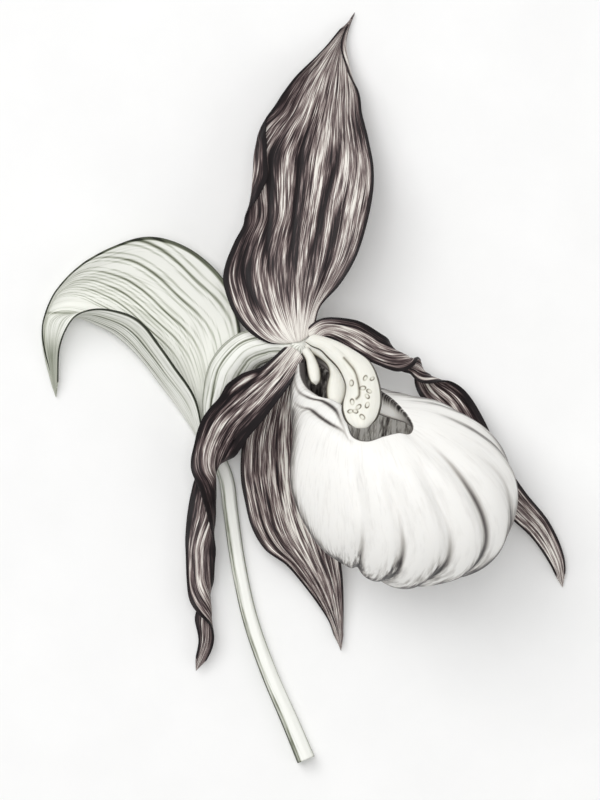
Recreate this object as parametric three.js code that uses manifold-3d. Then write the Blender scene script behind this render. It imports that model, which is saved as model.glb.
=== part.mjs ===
// One cut flowering stem of a lady's-slipper orchid (Cypripedium), lying on its back.
// Millimetres, +Z up. The flower's heart, where all organs meet, is the origin of x and y
// in every list below, and z is the height above the surface that the flower lies on.
import * as THREE from 'three';
import { mergeVertices } from 'three/addons/utils/BufferGeometryUtils.js';
import Module from 'manifold-3d';

const wasm = await Module();
wasm.setup();

// ---- driving dimensions -------------------------------------------------------------

const HEART = new THREE.Vector3(-0.49, 6.75, 0.088); // puts the middle of the whole at x = y = 0
const GAP = 0.3; // clearance between organs that touch
const SEPAL_THICKNESS = 0.8;
const PETAL_THICKNESS = 0.8;
const BRACT_THICKNESS = 0.7;
const STAMINODE_THICKNESS = 1.3;
const EDGE_THICKNESS = 0.65; // every blade thins to this at its margins

// lip: an inflated pouch around POUCH_CENTRE, half POUCH_DEPTH deep each way
const POUCH_CENTRE = new THREE.Vector3(16.8, -22.9, 20.0);
const POUCH_DEPTH = 14.0;
const POUCH_WALL = 0.9;
// its outline seen from above: [angle in degrees, radius], counter-clockwise from +x
const POUCH_OUTLINE = [
  [-16, 18.3], [5, 18.0], [22, 17.0], [47, 15.4], [68, 14.6], [90, 14.3], [115, 15.6],
  [141, 19.6], [158, 19.0], [175, 18.5], [199, 17.1], [216, 16.5], [235, 15.5],
  [250, 15.7], [272, 16.2], [290, 16.4], [305, 17.5], [325, 18.4],
];
// the axis that its grooves run along, from inside the mouth to the heel
const POUCH_TOP = new THREE.Vector3(-7.5, 13.4, 4.8).add(POUCH_CENTRE);
const POUCH_HEEL = new THREE.Vector3(-8.5, -9.6, -8.2).add(POUCH_CENTRE);
// grooves: longitude round that axis in degrees, and depth
const GROOVES = [
  [-58, 0.5], [-37, 0.6], [-17, 0.8], [0, 0.8], [14.5, 0.5], [28.5, 1.2], [43.8, 1.2],
  [63.5, 1.2], [84.5, 0.9],
];
const GROOVE_HALF_WIDTH = 4.5; // degrees
const GROOVE_SWIRL = 8; // degrees that each groove turns by on its way up to the mouth
// rim of the mouth: [x, y, z, bead radius, infold], from the claw at the heart, under the
// staminode, along the infolded right side, the front and the left side
const RIM = [
  [0.4, -1.2, 13.4, 0.6, 0.0], [3.8, -2.0, 14.8, 0.5, 0.5], [7.2, -3.7, 16.6, 0.5, 1.4],
  [10.4, -5.6, 19.0, 0.5, 2.2], [13.1, -7.4, 21.8, 0.5, 2.8], [14.8, -8.6, 24.0, 0.5, 2.6],
  [16.2, -10.0, 26.2, 0.5, 1.8], [17.5, -11.6, 28.0, 0.5, 0.9], [18.2, -13.2, 29.4, 0.5, 0.2],
  [17.6, -14.3, 30.4, 0.5, 0.0], [15.8, -14.2, 31.4, 0.55, 0.0], [13.4, -14.8, 32.0, 0.6, 0.0],
  [10.6, -15.6, 32.2, 0.6, 0.0], [8.2, -14.8, 31.2, 0.6, 0.0], [7.3, -12.4, 29.6, 0.6, 0.2],
  [6.5, -10.0, 27.6, 0.6, 0.3], [4.6, -8.7, 25.2, 0.6, 0.4], [2.0, -8.0, 22.4, 0.6, 0.4],
  [0.2, -6.7, 19.2, 0.6, 0.3], [-0.4, -4.2, 16.2, 0.6, 0.2],
];
// crease below the rim on the left: [longitude in degrees, distance from the rim]
const CREASE = [[95, 0.4], [110, 1.6], [135, 3.2], [180, 3.4], [215, 3.2]];
const CREASE_DEPTH = 0.6;

// ---- curves and tables --------------------------------------------------------------

const degrees = THREE.MathUtils.degToRad;
const smoothstep = THREE.MathUtils.smoothstep;
const UP = new THREE.Vector3(0, 0, 1);

function curveThrough(points) {
  const vectors = points.map(([x, y, z]) => new THREE.Vector3(x, y, z));
  return new THREE.CatmullRomCurve3(vectors, false, 'centripetal');
}

// Smooth function through [x, y] pairs; with a period the table wraps round.
function smoothTable(pairs, period = 0) {
  const wrap = (shift) => pairs.map(([x, y]) => [x + shift, y]);
  const knots = period ? [...wrap(-period), ...pairs, ...wrap(period)] : pairs;
  const last = knots.length - 1;
  const slope = (i) => {
    const [x0, y0] = knots[Math.max(i - 1, 0)];
    const [x1, y1] = knots[Math.min(i + 1, last)];
    return (y1 - y0) / (x1 - x0);
  };
  return (x) => {
    let i = 0;
    while (i < last - 1 && x > knots[i + 1][0]) i += 1;
    const [x0, y0] = knots[i];
    const [x1, y1] = knots[i + 1];
    const width = x1 - x0;
    const u = THREE.MathUtils.clamp((x - x0) / width, 0, 1);
    const rise = y1 - y0;
    const bend0 = slope(i) * width - rise;
    const bend1 = rise - slope(i + 1) * width;
    return y0 + rise * u + u * (1 - u) * (bend0 * (1 - u) + bend1 * u);
  };
}

// 1 inside a stretch of t, falling smoothly to 0 at both of its ends
function within(from, to, t) {
  const fade = (to - from) * 0.4;
  return smoothstep(t, from, from + fade) * (1 - smoothstep(t, to - fade, to));
}

// ---- blade surfaces: functions of t (base 0, tip 1) and s (left -1, right 1) -----------

// A blade hung between three rails: its left margin, its midrib and its right margin.
function bladeOnRails({ left, midrib, right }) {
  const rails = [left, midrib, right].map(curveThrough);
  return (t, s) => {
    const [a, m, b] = rails.map((rail) => rail.getPointAt(THREE.MathUtils.clamp(t, 0, 1)));
    const across = b.clone().sub(a).multiplyScalar(s / 2);
    const sag = a.add(b).multiplyScalar(0.5).sub(m).multiplyScalar(s * s);
    return m.add(across).add(sag);
  };
}

// A ribbon along a centre line, turning round it by twist(t) degrees; cup(t) is how deep a
// channel it makes, as a share of its half width.
function ribbon({ centre, halfWidth, twist, cup }) {
  const line = curveThrough(centre);
  return (t, s) => {
    const at = THREE.MathUtils.clamp(t, 0, 1);
    const tangent = line.getTangentAt(at);
    const side = tangent.clone().cross(UP).normalize();
    const face = side.clone().cross(tangent);
    const turn = degrees(twist(at));
    const across = side.clone().multiplyScalar(Math.cos(turn)).addScaledVector(face, Math.sin(turn));
    const out = face.multiplyScalar(Math.cos(turn)).addScaledVector(side, -Math.sin(turn));
    const width = halfWidth(at);
    return line.getPointAt(at).addScaledVector(across, s * width)
      .addScaledVector(out, cup(at) * width * (s * s - 0.5));
  };
}

function normalAt(surface, t, s) {
  const step = 0.004;
  const t0 = Math.max(t - step, 0);
  const t1 = Math.min(t + step, 1);
  const along = surface(t1, s).sub(surface(t0, s));
  const across = surface(t, s + step).sub(surface(t, s - step));
  return across.cross(along).normalize();
}

// Lifts a surface along its normal by height(t, s).
function relief(surface, height) {
  return (t, s) => surface(t, s).addScaledVector(normalAt(surface, t, s), height(t, s));
}

// Curls one margin over the face between two places along the blade.
function curlMargin(surface, { side, start, from, to, turn }) {
  return (t, s) => {
    const flat = surface(t, s);
    const angleAtMargin = degrees(turn) * within(from, to, t);
    const past = (side * s - start) / (1 - start);
    if (past <= 0 || angleAtMargin < 0.02) return flat;
    const hinge = surface(t, side * start);
    const outward = flat.sub(hinge);
    const length = outward.length();
    const angle = angleAtMargin * past;
    const radius = length / angle;
    return hinge.addScaledVector(outward.normalize(), radius * Math.sin(angle))
      .addScaledVector(normalAt(surface, t, side * start), radius * (1 - Math.cos(angle)));
  };
}

// ---- closed solids from grids of points -----------------------------------------------

function geometryFrom(points, triangles) {
  const geometry = new THREE.BufferGeometry();
  geometry.setFromPoints(points);
  geometry.setIndex(triangles);
  return geometry;
}

// Columns stand closer together towards the margins.
function columnPlace(u) {
  return Math.sin((u - 0.5) * Math.PI * 0.8) / Math.sin(Math.PI * 0.4);
}

// The step that widens and lengthens a blade by grow at its margins and ends.
function outwardStep(surface, t, s, grow) {
  const here = surface(t, s);
  const step = new THREE.Vector3();
  if (Math.abs(s) > 0.9999) step.add(here.clone().sub(surface(t, s * 0.98)).normalize());
  if (t === 0) step.add(here.clone().sub(surface(0.01, s)).normalize());
  if (t === 1) step.add(here.clone().sub(surface(0.99, s)).normalize());
  return step.multiplyScalar(grow);
}

// A blade as a closed solid, divided into the same triangles on both faces. rowPlace can
// bring rows closer together where the blade twists.
function bladeSolid({ surface, rows, columns, thickness, rowPlace = (u) => u, grow = 0 }) {
  const points = [];
  const width = columns + 1;
  for (const face of [1, -1]) {
    for (let i = 0; i <= rows; i += 1) {
      for (let j = 0; j <= columns; j += 1) {
        const t = rowPlace(i / rows);
        const s = columnPlace(j / columns);
        const half = THREE.MathUtils.lerp(thickness, EDGE_THICKNESS, s ** 4) / 2 + grow;
        points.push(surface(t, s).addScaledVector(normalAt(surface, t, s), face * half)
          .add(outwardStep(surface, t, s, grow)));
      }
    }
  }
  const back = (rows + 1) * width;
  const triangles = [];
  const quad = (a, b, c, d) => triangles.push(a, b, c, a, c, d);
  for (let i = 0; i < rows; i += 1) {
    for (let j = 0; j < columns; j += 1) {
      const a = i * width + j;
      quad(a, a + 1, a + width + 1, a + width);
      triangles.push(back + a, back + a + width + 1, back + a + 1);
      triangles.push(back + a, back + a + width, back + a + width + 1);
    }
    const left = i * width;
    const right = left + columns;
    quad(left, left + width, back + left + width, back + left);
    quad(right, back + right, back + right + width, right + width);
  }
  for (let j = 0; j < columns; j += 1) {
    const end = rows * width + j;
    quad(j, back + j, back + j + 1, j + 1);
    quad(end, end + 1, back + end + 1, back + end);
  }
  return geometryFrom(points, triangles);
}

// A closed solid through a row of rings, each end closed by a fan.
function ringSolid(rings) {
  const sides = rings[0].length;
  const points = rings.flat();
  const middle = (ring) => ring.reduce((sum, p) => sum.add(p), new THREE.Vector3())
    .divideScalar(sides);
  const start = points.push(middle(rings[0])) - 1;
  const end = points.push(middle(rings.at(-1))) - 1;
  const lastRing = (rings.length - 1) * sides;
  const triangles = [];
  for (let j = 0; j < sides; j += 1) {
    const next = (j + 1) % sides;
    for (let i = 0; i < rings.length - 1; i += 1) {
      const a = i * sides;
      const b = a + sides;
      triangles.push(a + j, a + next, b + next, a + j, b + next, b + j);
    }
    triangles.push(start, next, j);
    triangles.push(end, lastRing + j, lastRing + next);
  }
  return geometryFrom(points, triangles);
}

// Rings round a centre line; shape(angle, t) scales the radius, and angle 0 points down.
function tubeSolid({ centre, radius, sides, rows, shape = () => 1, flatten = () => 1, grow = 0 }) {
  const line = curveThrough(centre);
  const rings = [];
  for (let i = 0; i <= rows; i += 1) {
    const t = i / rows;
    const tangent = line.getTangentAt(t);
    const side = UP.clone().cross(tangent).normalize();
    const down = side.clone().cross(tangent);
    const end = (i === rows ? grow : 0) - (i === 0 ? grow : 0);
    const middle = line.getPointAt(t).addScaledVector(tangent, end);
    const ring = [];
    for (let j = 0; j < sides; j += 1) {
      const angle = (2 * Math.PI * j) / sides;
      const reach = radius(t) * shape(angle, t) + grow;
      ring.push(middle.clone()
        .addScaledVector(down, reach * Math.cos(angle) * flatten(t))
        .addScaledVector(side, reach * Math.sin(angle)));
    }
    rings.push(ring);
  }
  return ringSolid(rings);
}

// ---- joining and cutting --------------------------------------------------------------

function toManifold(geometry) {
  const welded = mergeVertices(geometry, 1e-5);
  return new wasm.Manifold(new wasm.Mesh({
    numProp: 3,
    vertProperties: new Float32Array(welded.attributes.position.array),
    triVerts: new Uint32Array(welded.index.array),
  }));
}

function toGeometry(manifold) {
  const mesh = manifold.getMesh();
  const geometry = new THREE.BufferGeometry();
  geometry.setAttribute('position', new THREE.BufferAttribute(mesh.vertProperties, 3));
  geometry.setIndex(new THREE.BufferAttribute(mesh.triVerts, 1));
  return geometry;
}

// What is left of a solid once its neighbours, grown by the gap, are taken out of it.
function clearOf(geometry, neighbours) {
  let solid = toManifold(geometry);
  for (const neighbour of neighbours) solid = solid.subtract(toManifold(neighbour));
  const pieces = solid.decompose();
  const largest = pieces.reduce((best, piece) => (piece.volume() > best.volume() ? piece : best));
  return toGeometry(largest);
}

// ---- stem and ovary ---------------------------------------------------------------------

const stemRadius = smoothTable([[0, 1.25], [0.3, 1.2], [0.7, 1.3], [1, 1.5]]);

function stem(grow) {
  return tubeSolid({
    centre: [
      [-13.95, -16.6, 1.35], [-11.9, -21.5, 1.3], [-11.2, -26.5, 1.3], [-10.0, -34.9, 1.3],
      [-8.1, -43.7, 1.35], [-5.1, -52.3, 1.4], [-1.6, -60.4, 1.45], [1.0, -66.6, 1.5],
    ],
    radius: stemRadius, sides: 12, rows: 16, grow,
  });
}

const OVARY_RIBS = 6;
const ovaryRadius = smoothTable([
  [0, 2.0], [0.15, 2.6], [0.35, 3.3], [0.55, 3.4], [0.72, 2.9], [0.87, 2.0], [1, 1.35],
]);

function ovary(grow) {
  return tubeSolid({
    centre: [
      [-0.3, -0.3, 12.0], [-4.6, 0.1, 9.9], [-8.4, -0.9, 7.8], [-11.2, -3.9, 6.2],
      [-12.5, -8.1, 4.8], [-13.4, -12.6, 3.1], [-13.9, -16.2, 1.75],
    ],
    radius: ovaryRadius, sides: 24, rows: 18,
    shape: (angle) => 0.96 + 0.07 * Math.cos(OVARY_RIBS * angle),
    grow,
  });
}

// ---- bract --------------------------------------------------------------------------------

const BRACT_VEINS = 5; // raised veins on each half
const bractFolded = bladeOnRails({
  left: [
    [-13.4, -17.4, 1.4], [-11.4, -9.0, 1.5], [-9.6, -1.0, 2.2], [-10.4, 6.4, 3.0],
    [-12.5, 10.7, 3.8], [-17.8, 15.4, 4.6], [-24.0, 17.3, 5.0], [-30.1, 15.7, 4.8],
    [-35.8, 12.3, 4.4], [-39.4, 8.3, 3.6], [-40.9, 5.0, 3.0], [-41.4, 2.2, 2.4],
    [-40.9, -1.3, 1.6], [-40.1, -4.2, 1.2], [-39.5, -8.3, 0.8],
  ],
  midrib: [
    [-14.6, -17.6, 0.9], [-16.2, -14.4, 0.8], [-20.4, -7.1, 0.6], [-24.4, -1.0, 0.6],
    [-29.8, 3.4, 0.7], [-33.1, 4.9, 0.9], [-35.8, 5.8, 1.2], [-38.6, 5.9, 1.6],
    [-40.4, 5.0, 1.8], [-40.9, 2.4, 1.6], [-40.3, -3.2, 1.1], [-39.2, -8.4, 0.7],
  ],
  right: [
    [-15.4, -17.0, 1.6], [-16.8, -8.7, 5.5], [-20.3, -3.2, 8.0], [-22.7, 0.2, 9.0],
    [-24.8, 3.0, 9.5], [-26.9, 4.6, 9.5], [-30.1, 5.6, 9.0], [-32.5, 5.8, 8.2],
    [-34.6, 5.4, 7.4], [-36.2, 4.5, 6.4], [-37.8, 2.1, 4.8], [-38.7, -0.8, 3.4],
    [-38.9, -4.8, 2.0], [-38.9, -8.3, 1.1],
  ],
});
const bractSurface = relief(
  bractFolded,
  (t, s) => 0.12 * Math.sin(Math.PI * t) * Math.cos(2 * Math.PI * BRACT_VEINS * s),
);

function bract(grow) {
  return bladeSolid({
    surface: bractSurface, rows: 25, columns: 20, thickness: BRACT_THICKNESS, grow,
  });
}

// ---- sepals -------------------------------------------------------------------------------

const dorsalOnRails = bladeOnRails({
  left: [
    [-1.9, 0.3, 13.8], [-5.1, 0.4, 13.6], [-8.0, 2.1, 13.6], [-10.4, 5.0, 13.6],
    [-11.8, 8.3, 13.6], [-12.3, 10.7, 13.6], [-11.9, 13.1, 13.6], [-10.5, 16.5, 13.4],
    [-8.8, 19.8, 13.0], [-9.1, 23.7, 12.4], [-10.1, 27.6, 11.6], [-10.7, 31.0, 10.8],
    [-8.0, 34.8, 10.0], [-4.9, 37.3, 8.4], [-2.7, 40.5, 6.8], [-0.4, 43.4, 5.2],
    [2.9, 46.4, 3.7], [5.1, 48.5, 2.6], [7.4, 51.2, 1.4], [8.6, 53.4, 0.6],
  ],
  midrib: [
    [0.0, 0.5, 14.0], [0.2, 7.2, 13.2], [1.0, 15.2, 11.8], [2.2, 23.2, 10.0],
    [3.4, 31.2, 7.8], [4.7, 39.2, 5.2], [5.8, 45.0, 3.0], [6.7, 48.6, 1.7],
    [7.7, 51.3, 0.8], [8.8, 53.5, 0.42],
  ],
  right: [
    [2.0, 1.8, 13.8], [3.2, 6.2, 13.8], [6.1, 9.9, 13.9], [8.8, 14.4, 13.6],
    [10.8, 19.7, 12.8], [11.8, 24.6, 11.6], [11.7, 28.6, 10.4], [10.6, 32.8, 9.2],
    [9.5, 37.2, 7.6], [9.4, 41.0, 6.2], [8.3, 45.0, 4.2], [7.4, 48.4, 2.6],
    [7.8, 51.2, 1.5], [9.0, 53.4, 0.6],
  ],
});
const dorsalRipple = (t, s) => 0.5 * Math.abs(s) ** 3 * Math.sin(14 * t + 2 * s);
const dorsalRippled = relief(dorsalOnRails, dorsalRipple);
const dorsalLeftCurled = curlMargin(
  dorsalRippled,
  { side: -1, start: 0.7, from: 0.36, to: 0.68, turn: 150 },
);
const dorsalSurface = curlMargin(
  dorsalLeftCurled,
  { side: 1, start: 0.6, from: 0.7, to: 0.97, turn: 110 },
);

function dorsalSepal(grow) {
  return bladeSolid({
    surface: dorsalSurface, rows: 33, columns: 14, thickness: SEPAL_THICKNESS, grow,
  });
}

const synsepalOnRails = bladeOnRails({
  left: [
    [-1.9, -3.0, 12.4], [-5.2, -7.2, 10.2], [-7.6, -11.0, 8.2], [-9.0, -14.9, 6.6],
    [-9.3, -21.0, 5.4], [-8.6, -25.1, 5.0], [-7.6, -29.3, 4.7], [-5.6, -32.8, 4.2],
    [-2.2, -35.4, 3.6], [0.0, -37.8, 3.0], [2.7, -41.2, 2.4], [4.8, -44.3, 1.9],
    [5.7, -46.5, 1.6], [6.4, -49.0, 1.1],
  ],
  midrib: [
    [-0.5, -2.7, 12.2], [-1.6, -6.4, 10.0], [-2.4, -12.0, 7.0], [-2.6, -17.6, 4.9],
    [-2.2, -23.2, 3.7], [-1.0, -28.8, 3.1], [1.4, -34.1, 2.7], [3.7, -38.6, 2.3],
    [5.4, -43.4, 1.8], [6.2, -46.6, 1.4], [6.6, -49.1, 1.0],
  ],
  right: [
    [0.8, -3.2, 12.2], [3.0, -7.0, 9.4], [4.6, -12.0, 6.6], [5.4, -17.6, 4.6],
    [5.8, -23.2, 3.7], [6.2, -28.8, 3.3], [6.4, -33.5, 3.0], [6.8, -37.4, 2.6],
    [6.9, -41.4, 2.1], [6.8, -46.0, 1.5], [6.8, -49.0, 1.1],
  ],
});
const synsepalRipple = (t, s) => 0.4 * Math.abs(s) ** 3 * Math.sin(11 * t + 3 * s);
const synsepalSurface = relief(synsepalOnRails, synsepalRipple);

function synsepal(grow) {
  return bladeSolid({
    surface: synsepalSurface, rows: 24, columns: 12, thickness: SEPAL_THICKNESS, grow,
  });
}

// ---- petals -------------------------------------------------------------------------------

const leftPetalSurface = ribbon({
  centre: [
    [-0.5, -0.8, 15.2], [-3.8, -5.0, 14.6], [-8.0, -9.1, 13.0], [-11.5, -12.6, 11.0],
    [-13.6, -16.6, 8.8], [-14.9, -20.4, 7.0], [-15.1, -24.4, 5.8], [-15.2, -28.0, 5.2],
    [-15.9, -32.8, 4.4], [-15.9, -37.6, 3.8], [-15.5, -42.2, 3.2], [-15.0, -47.2, 2.5],
    [-16.7, -52.3, 1.6],
  ],
  halfWidth: smoothTable([
    [0, 1.7], [0.1, 2.6], [0.2, 3.5], [0.3, 3.8], [0.35, 3.55], [0.4, 3.1], [0.44, 2.7],
    [0.47, 2.7], [0.52, 2.85], [0.575, 2.9], [0.63, 2.6], [0.68, 2.3], [0.75, 2.1], [0.81, 1.9],
    [0.86, 1.5], [0.91, 1.2], [0.96, 0.85], [1, 0.35],
  ]),
  twist: smoothTable([
    [0, 0], [0.33, 0], [0.39, 20], [0.43, 50], [0.465, 90], [0.52, 112], [0.575, 130],
    [0.63, 155], [0.68, 174], [0.75, 190], [0.79, 225], [0.83, 275], [0.865, 320], [0.91, 350],
    [1, 365],
  ]),
  cup: smoothTable([
    [0, 0.25], [0.34, 0.2], [0.39, -0.3], [0.43, -0.8], [0.465, -1], [0.52, -1], [0.575, -0.9],
    [0.63, -0.5], [0.68, 0], [0.75, 0.4], [0.8, 1], [0.84, 1.1], [0.88, 0.7], [0.93, 0.3],
    [1, 0.2],
  ]),
});

const leftPetalRows = smoothTable([[0, 0], [0.25, 0.36], [0.6, 0.65], [0.9, 0.9], [1, 1]]);

function leftPetal(grow) {
  return bladeSolid({
    surface: leftPetalSurface, rows: 42, columns: 8, thickness: PETAL_THICKNESS,
    rowPlace: leftPetalRows, grow,
  });
}

const rightPetalSurface = ribbon({
  centre: [
    [1.6, 1.2, 15.2], [4.0, 2.7, 14.8], [8.0, 1.9, 13.6], [12.5, -0.8, 12.0],
    [16.7, -3.0, 9.4], [18.3, -3.7, 7.8], [19.3, -5.2, 6.4], [21.4, -6.8, 5.2],
    [24.3, -9.2, 4.3], [26.8, -13.0, 3.7], [30.2, -19.2, 3.1], [34.3, -25.0, 2.8],
    [38.6, -29.6, 2.4], [41.2, -34.5, 1.7], [42.2, -38.9, 0.48],
  ],
  halfWidth: smoothTable([
    [0, 1.3], [0.06, 1.6], [0.12, 2.3], [0.19, 2.3], [0.25, 2.0], [0.31, 1.4], [0.35, 1.8],
    [0.4, 2.4], [0.46, 2.8], [0.6, 2.6], [0.75, 2.2], [0.84, 1.8], [0.92, 1.3], [0.97, 0.7],
    [1, 0.35],
  ]),
  twist: smoothTable([
    [0, 0], [0.17, 5], [0.225, 30], [0.272, 90], [0.308, 180], [0.348, 270], [0.39, 335],
    [0.44, 355], [0.6, 360], [1, 360],
  ]),
  cup: smoothTable([
    [0, 0.22], [0.2, 0.3], [0.255, 0.7], [0.29, 0.7], [0.31, 0.4], [0.345, 0.7], [0.385, 0.7],
    [0.44, 0.3], [1, 0.22],
  ]),
});

const rightPetalRows = smoothTable([[0, 0], [0.2, 0.2], [0.68, 0.46], [1, 1]]);

function rightPetal(grow) {
  return bladeSolid({
    surface: rightPetalSurface, rows: 52, columns: 8, thickness: PETAL_THICKNESS,
    rowPlace: rightPetalRows, grow,
  });
}

// ---- lip ----------------------------------------------------------------------------------

const LIP_ROWS = 14;
const STEPS_PER_LOBE = 4;
const PLAIN_STEPS = 24;
const BEAD_STEPS = 5;
const pouchRadius = smoothTable(POUCH_OUTLINE, 360);
const pouchAxis = POUCH_HEEL.clone().sub(POUCH_TOP).normalize();
const pouchPole = POUCH_TOP.clone().add(POUCH_HEEL).multiplyScalar(0.5);
const pouchEast = new THREE.Vector3(1, 0, 0).projectOnPlane(pouchAxis).normalize();
const pouchNorth = pouchAxis.clone().cross(pouchEast);

// longitude round the pouch's axis, in degrees
function longitudeOf(point) {
  const arm = point.clone().sub(pouchPole);
  return THREE.MathUtils.radToDeg(Math.atan2(arm.dot(pouchNorth), arm.dot(pouchEast)));
}

// colatitude from the mouth's end of the axis, in radians
function colatitudeOf(point) {
  return Math.PI - point.clone().sub(pouchPole).angleTo(pouchAxis);
}

function directionAt(longitude, colatitude) {
  const turn = degrees(longitude);
  return pouchEast.clone().multiplyScalar(Math.cos(turn)).addScaledVector(pouchNorth, Math.sin(turn))
    .multiplyScalar(Math.sin(colatitude)).addScaledVector(pouchAxis, -Math.cos(colatitude));
}

// below 1 inside the inflated body, above 1 outside it
function bodyLevel(point) {
  const arm = point.clone().sub(POUCH_CENTRE);
  const angle = THREE.MathUtils.radToDeg(Math.atan2(arm.y, arm.x));
  return Math.hypot(Math.hypot(arm.x, arm.y) / pouchRadius(angle), arm.z / POUCH_DEPTH);
}

// distance from the pole to the body's surface along a direction, by bisection
function bodyReach(direction) {
  let inside = 0;
  let outside = 60;
  for (let step = 0; step < 26; step += 1) {
    const middle = (inside + outside) / 2;
    const point = pouchPole.clone().addScaledVector(direction, middle);
    if (bodyLevel(point) < 1) inside = middle;
    else outside = middle;
  }
  return inside;
}

function rimTable(read) {
  const pairs = RIM.map((row) => {
    const longitude = longitudeOf(new THREE.Vector3(row[0], row[1], row[2]));
    return [longitude, read(row)];
  });
  pairs.sort((a, b) => a[0] - b[0]);
  return smoothTable(pairs, 360);
}

const rimX = rimTable((row) => row[0]);
const rimY = rimTable((row) => row[1]);
const rimZ = rimTable((row) => row[2]);
const beadRadius = rimTable((row) => row[3]);

const infold = rimTable((row) => row[4]);
const creaseDistance = smoothTable(CREASE);

function grooveDepth(longitude) {
  return GROOVES.reduce((sum, [centre, depth]) => {
    const away = THREE.MathUtils.euclideanModulo(longitude - centre + 180, 360) - 180;
    return sum + depth * Math.exp(-((away / GROOVE_HALF_WIDTH) ** 2));
  }, 0);
}

function creaseDepth(longitude, fromRim) {
  const turned = THREE.MathUtils.euclideanModulo(longitude, 360);
  const away = (fromRim - creaseDistance(turned)) / 0.8;
  return CREASE_DEPTH * within(88, 222, turned) * Math.exp(-(away ** 2));
}

// Outer surface of the lip: v is 0 at the rim and 1 at the heel.
function lipSurface(groove, v) {
  const longitude = groove + GROOVE_SWIRL * (1 - smoothstep(v, 0, 0.5));
  const atRim = groove + GROOVE_SWIRL;
  const rim = new THREE.Vector3(rimX(atRim), rimY(atRim), rimZ(atRim));
  const start = colatitudeOf(rim);
  const direction = directionAt(longitude, THREE.MathUtils.lerp(start, Math.PI - 0.06, v));
  const rimReach = rim.clone().sub(pouchPole).length();
  const lift = rimReach - bodyReach(directionAt(atRim, start));
  const neck = 1 - smoothstep(v, 0, 0.4);
  const inGroove = grooveDepth(groove) * smoothstep(v, 0.04, 0.3) * (1 - smoothstep(v, 0.9, 1));
  const reach = bodyReach(direction) + lift * neck - inGroove;
  const point = pouchPole.clone().addScaledVector(direction, reach);
  return point.addScaledVector(direction, -creaseDepth(atRim, point.distanceTo(rim)));
}

function lipNormal(groove, v) {
  const step = 0.01;
  const v0 = Math.max(v - step, 0);
  const v1 = Math.min(v + step, 1);
  const down = lipSurface(groove, v1).sub(lipSurface(groove, v0));
  const round = lipSurface(groove + 1, v).sub(lipSurface(groove - 1, v));
  return round.cross(down).normalize();
}

// The rounded rim, from its outer side over the top to the edge of the infolded margin.
function lipBead(groove, grow) {
  const rim = lipSurface(groove, 0);
  const out = lipNormal(groove, 0);
  const up = rim.clone().sub(lipSurface(groove, 0.03));
  up.addScaledVector(out, -up.dot(out)).normalize();
  const radius = beadRadius(groove + GROOVE_SWIRL);
  const fold = Math.max(infold(groove + GROOVE_SWIRL), 0);
  const middle = rim.clone().addScaledVector(out, -radius);
  const bead = [];
  for (let k = 1; k <= BEAD_STEPS; k += 1) {
    const turn = (Math.PI * k) / BEAD_STEPS;
    const inward = fold * smoothstep(k / BEAD_STEPS, 0.3, 0.9);
    bead.push(middle.clone().addScaledVector(out, (radius + grow) * Math.cos(turn) - inward)
      .addScaledVector(up, (radius + grow) * Math.sin(turn)));
  }
  return bead;
}

// One line from the heel up the outside, over the rim and down the inside.
function lipMeridian(groove, grow) {
  const rows = Array.from({ length: LIP_ROWS + 1 }, (_, i) => (i / LIP_ROWS) ** 1.15);
  const foldDepth = 2 * beadRadius(groove + GROOVE_SWIRL)
    + Math.max(infold(groove + GROOVE_SWIRL), 0);
  const outside = rows.map((v) => lipSurface(groove, v)
    .addScaledVector(lipNormal(groove, v), grow));
  const inside = rows.slice(1).map((v) => {
    const depth = THREE.MathUtils.lerp(foldDepth, POUCH_WALL, smoothstep(v, 0, 0.14));
    return lipSurface(groove, v).addScaledVector(lipNormal(groove, v), -depth - grow);
  });
  return [...outside.reverse(), ...lipBead(groove, grow), ...inside];
}

// Longitudes of the mesh lines, so that each groove has a line of its own.
function lipLongitudes() {
  const starts = GROOVES.map(([centre]) => centre);
  const turned = [...starts, starts[0] + 360];
  return starts.flatMap((from, i) => {
    const steps = i === starts.length - 1 ? PLAIN_STEPS : STEPS_PER_LOBE;
    return Array.from({ length: steps }, (_, k) => from + ((turned[i + 1] - from) * k) / steps);
  });
}

function lip(grow) {
  const lines = lipLongitudes().reverse().map((groove) => lipMeridian(groove, grow));
  const rings = lines[0].map((_, row) => lines.map((line) => line[row]));
  return ringSolid(rings);
}

// ---- column, staminode and anthers ----------------------------------------------------------

function column(grow) {
  return tubeSolid({
    centre: [
      [1.4, 0.2, 14.8], [3.4, -0.9, 16.6], [5.2, -2.6, 18.6], [6.0, -4.8, 20.4],
      [5.8, -7.2, 21.8], [5.7, -9.2, 22.8], [5.9, -10.4, 23.4],
    ],
    radius: smoothTable([[0, 1.4], [0.3, 1.2], [0.5, 1.2], [0.7, 1.6], [0.85, 1.5], [1, 0.6]]),
    flatten: smoothTable([[0, 1], [0.5, 0.9], [0.8, 0.6], [1, 0.6]]),
    sides: 14, rows: 14, grow,
  });
}

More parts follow.
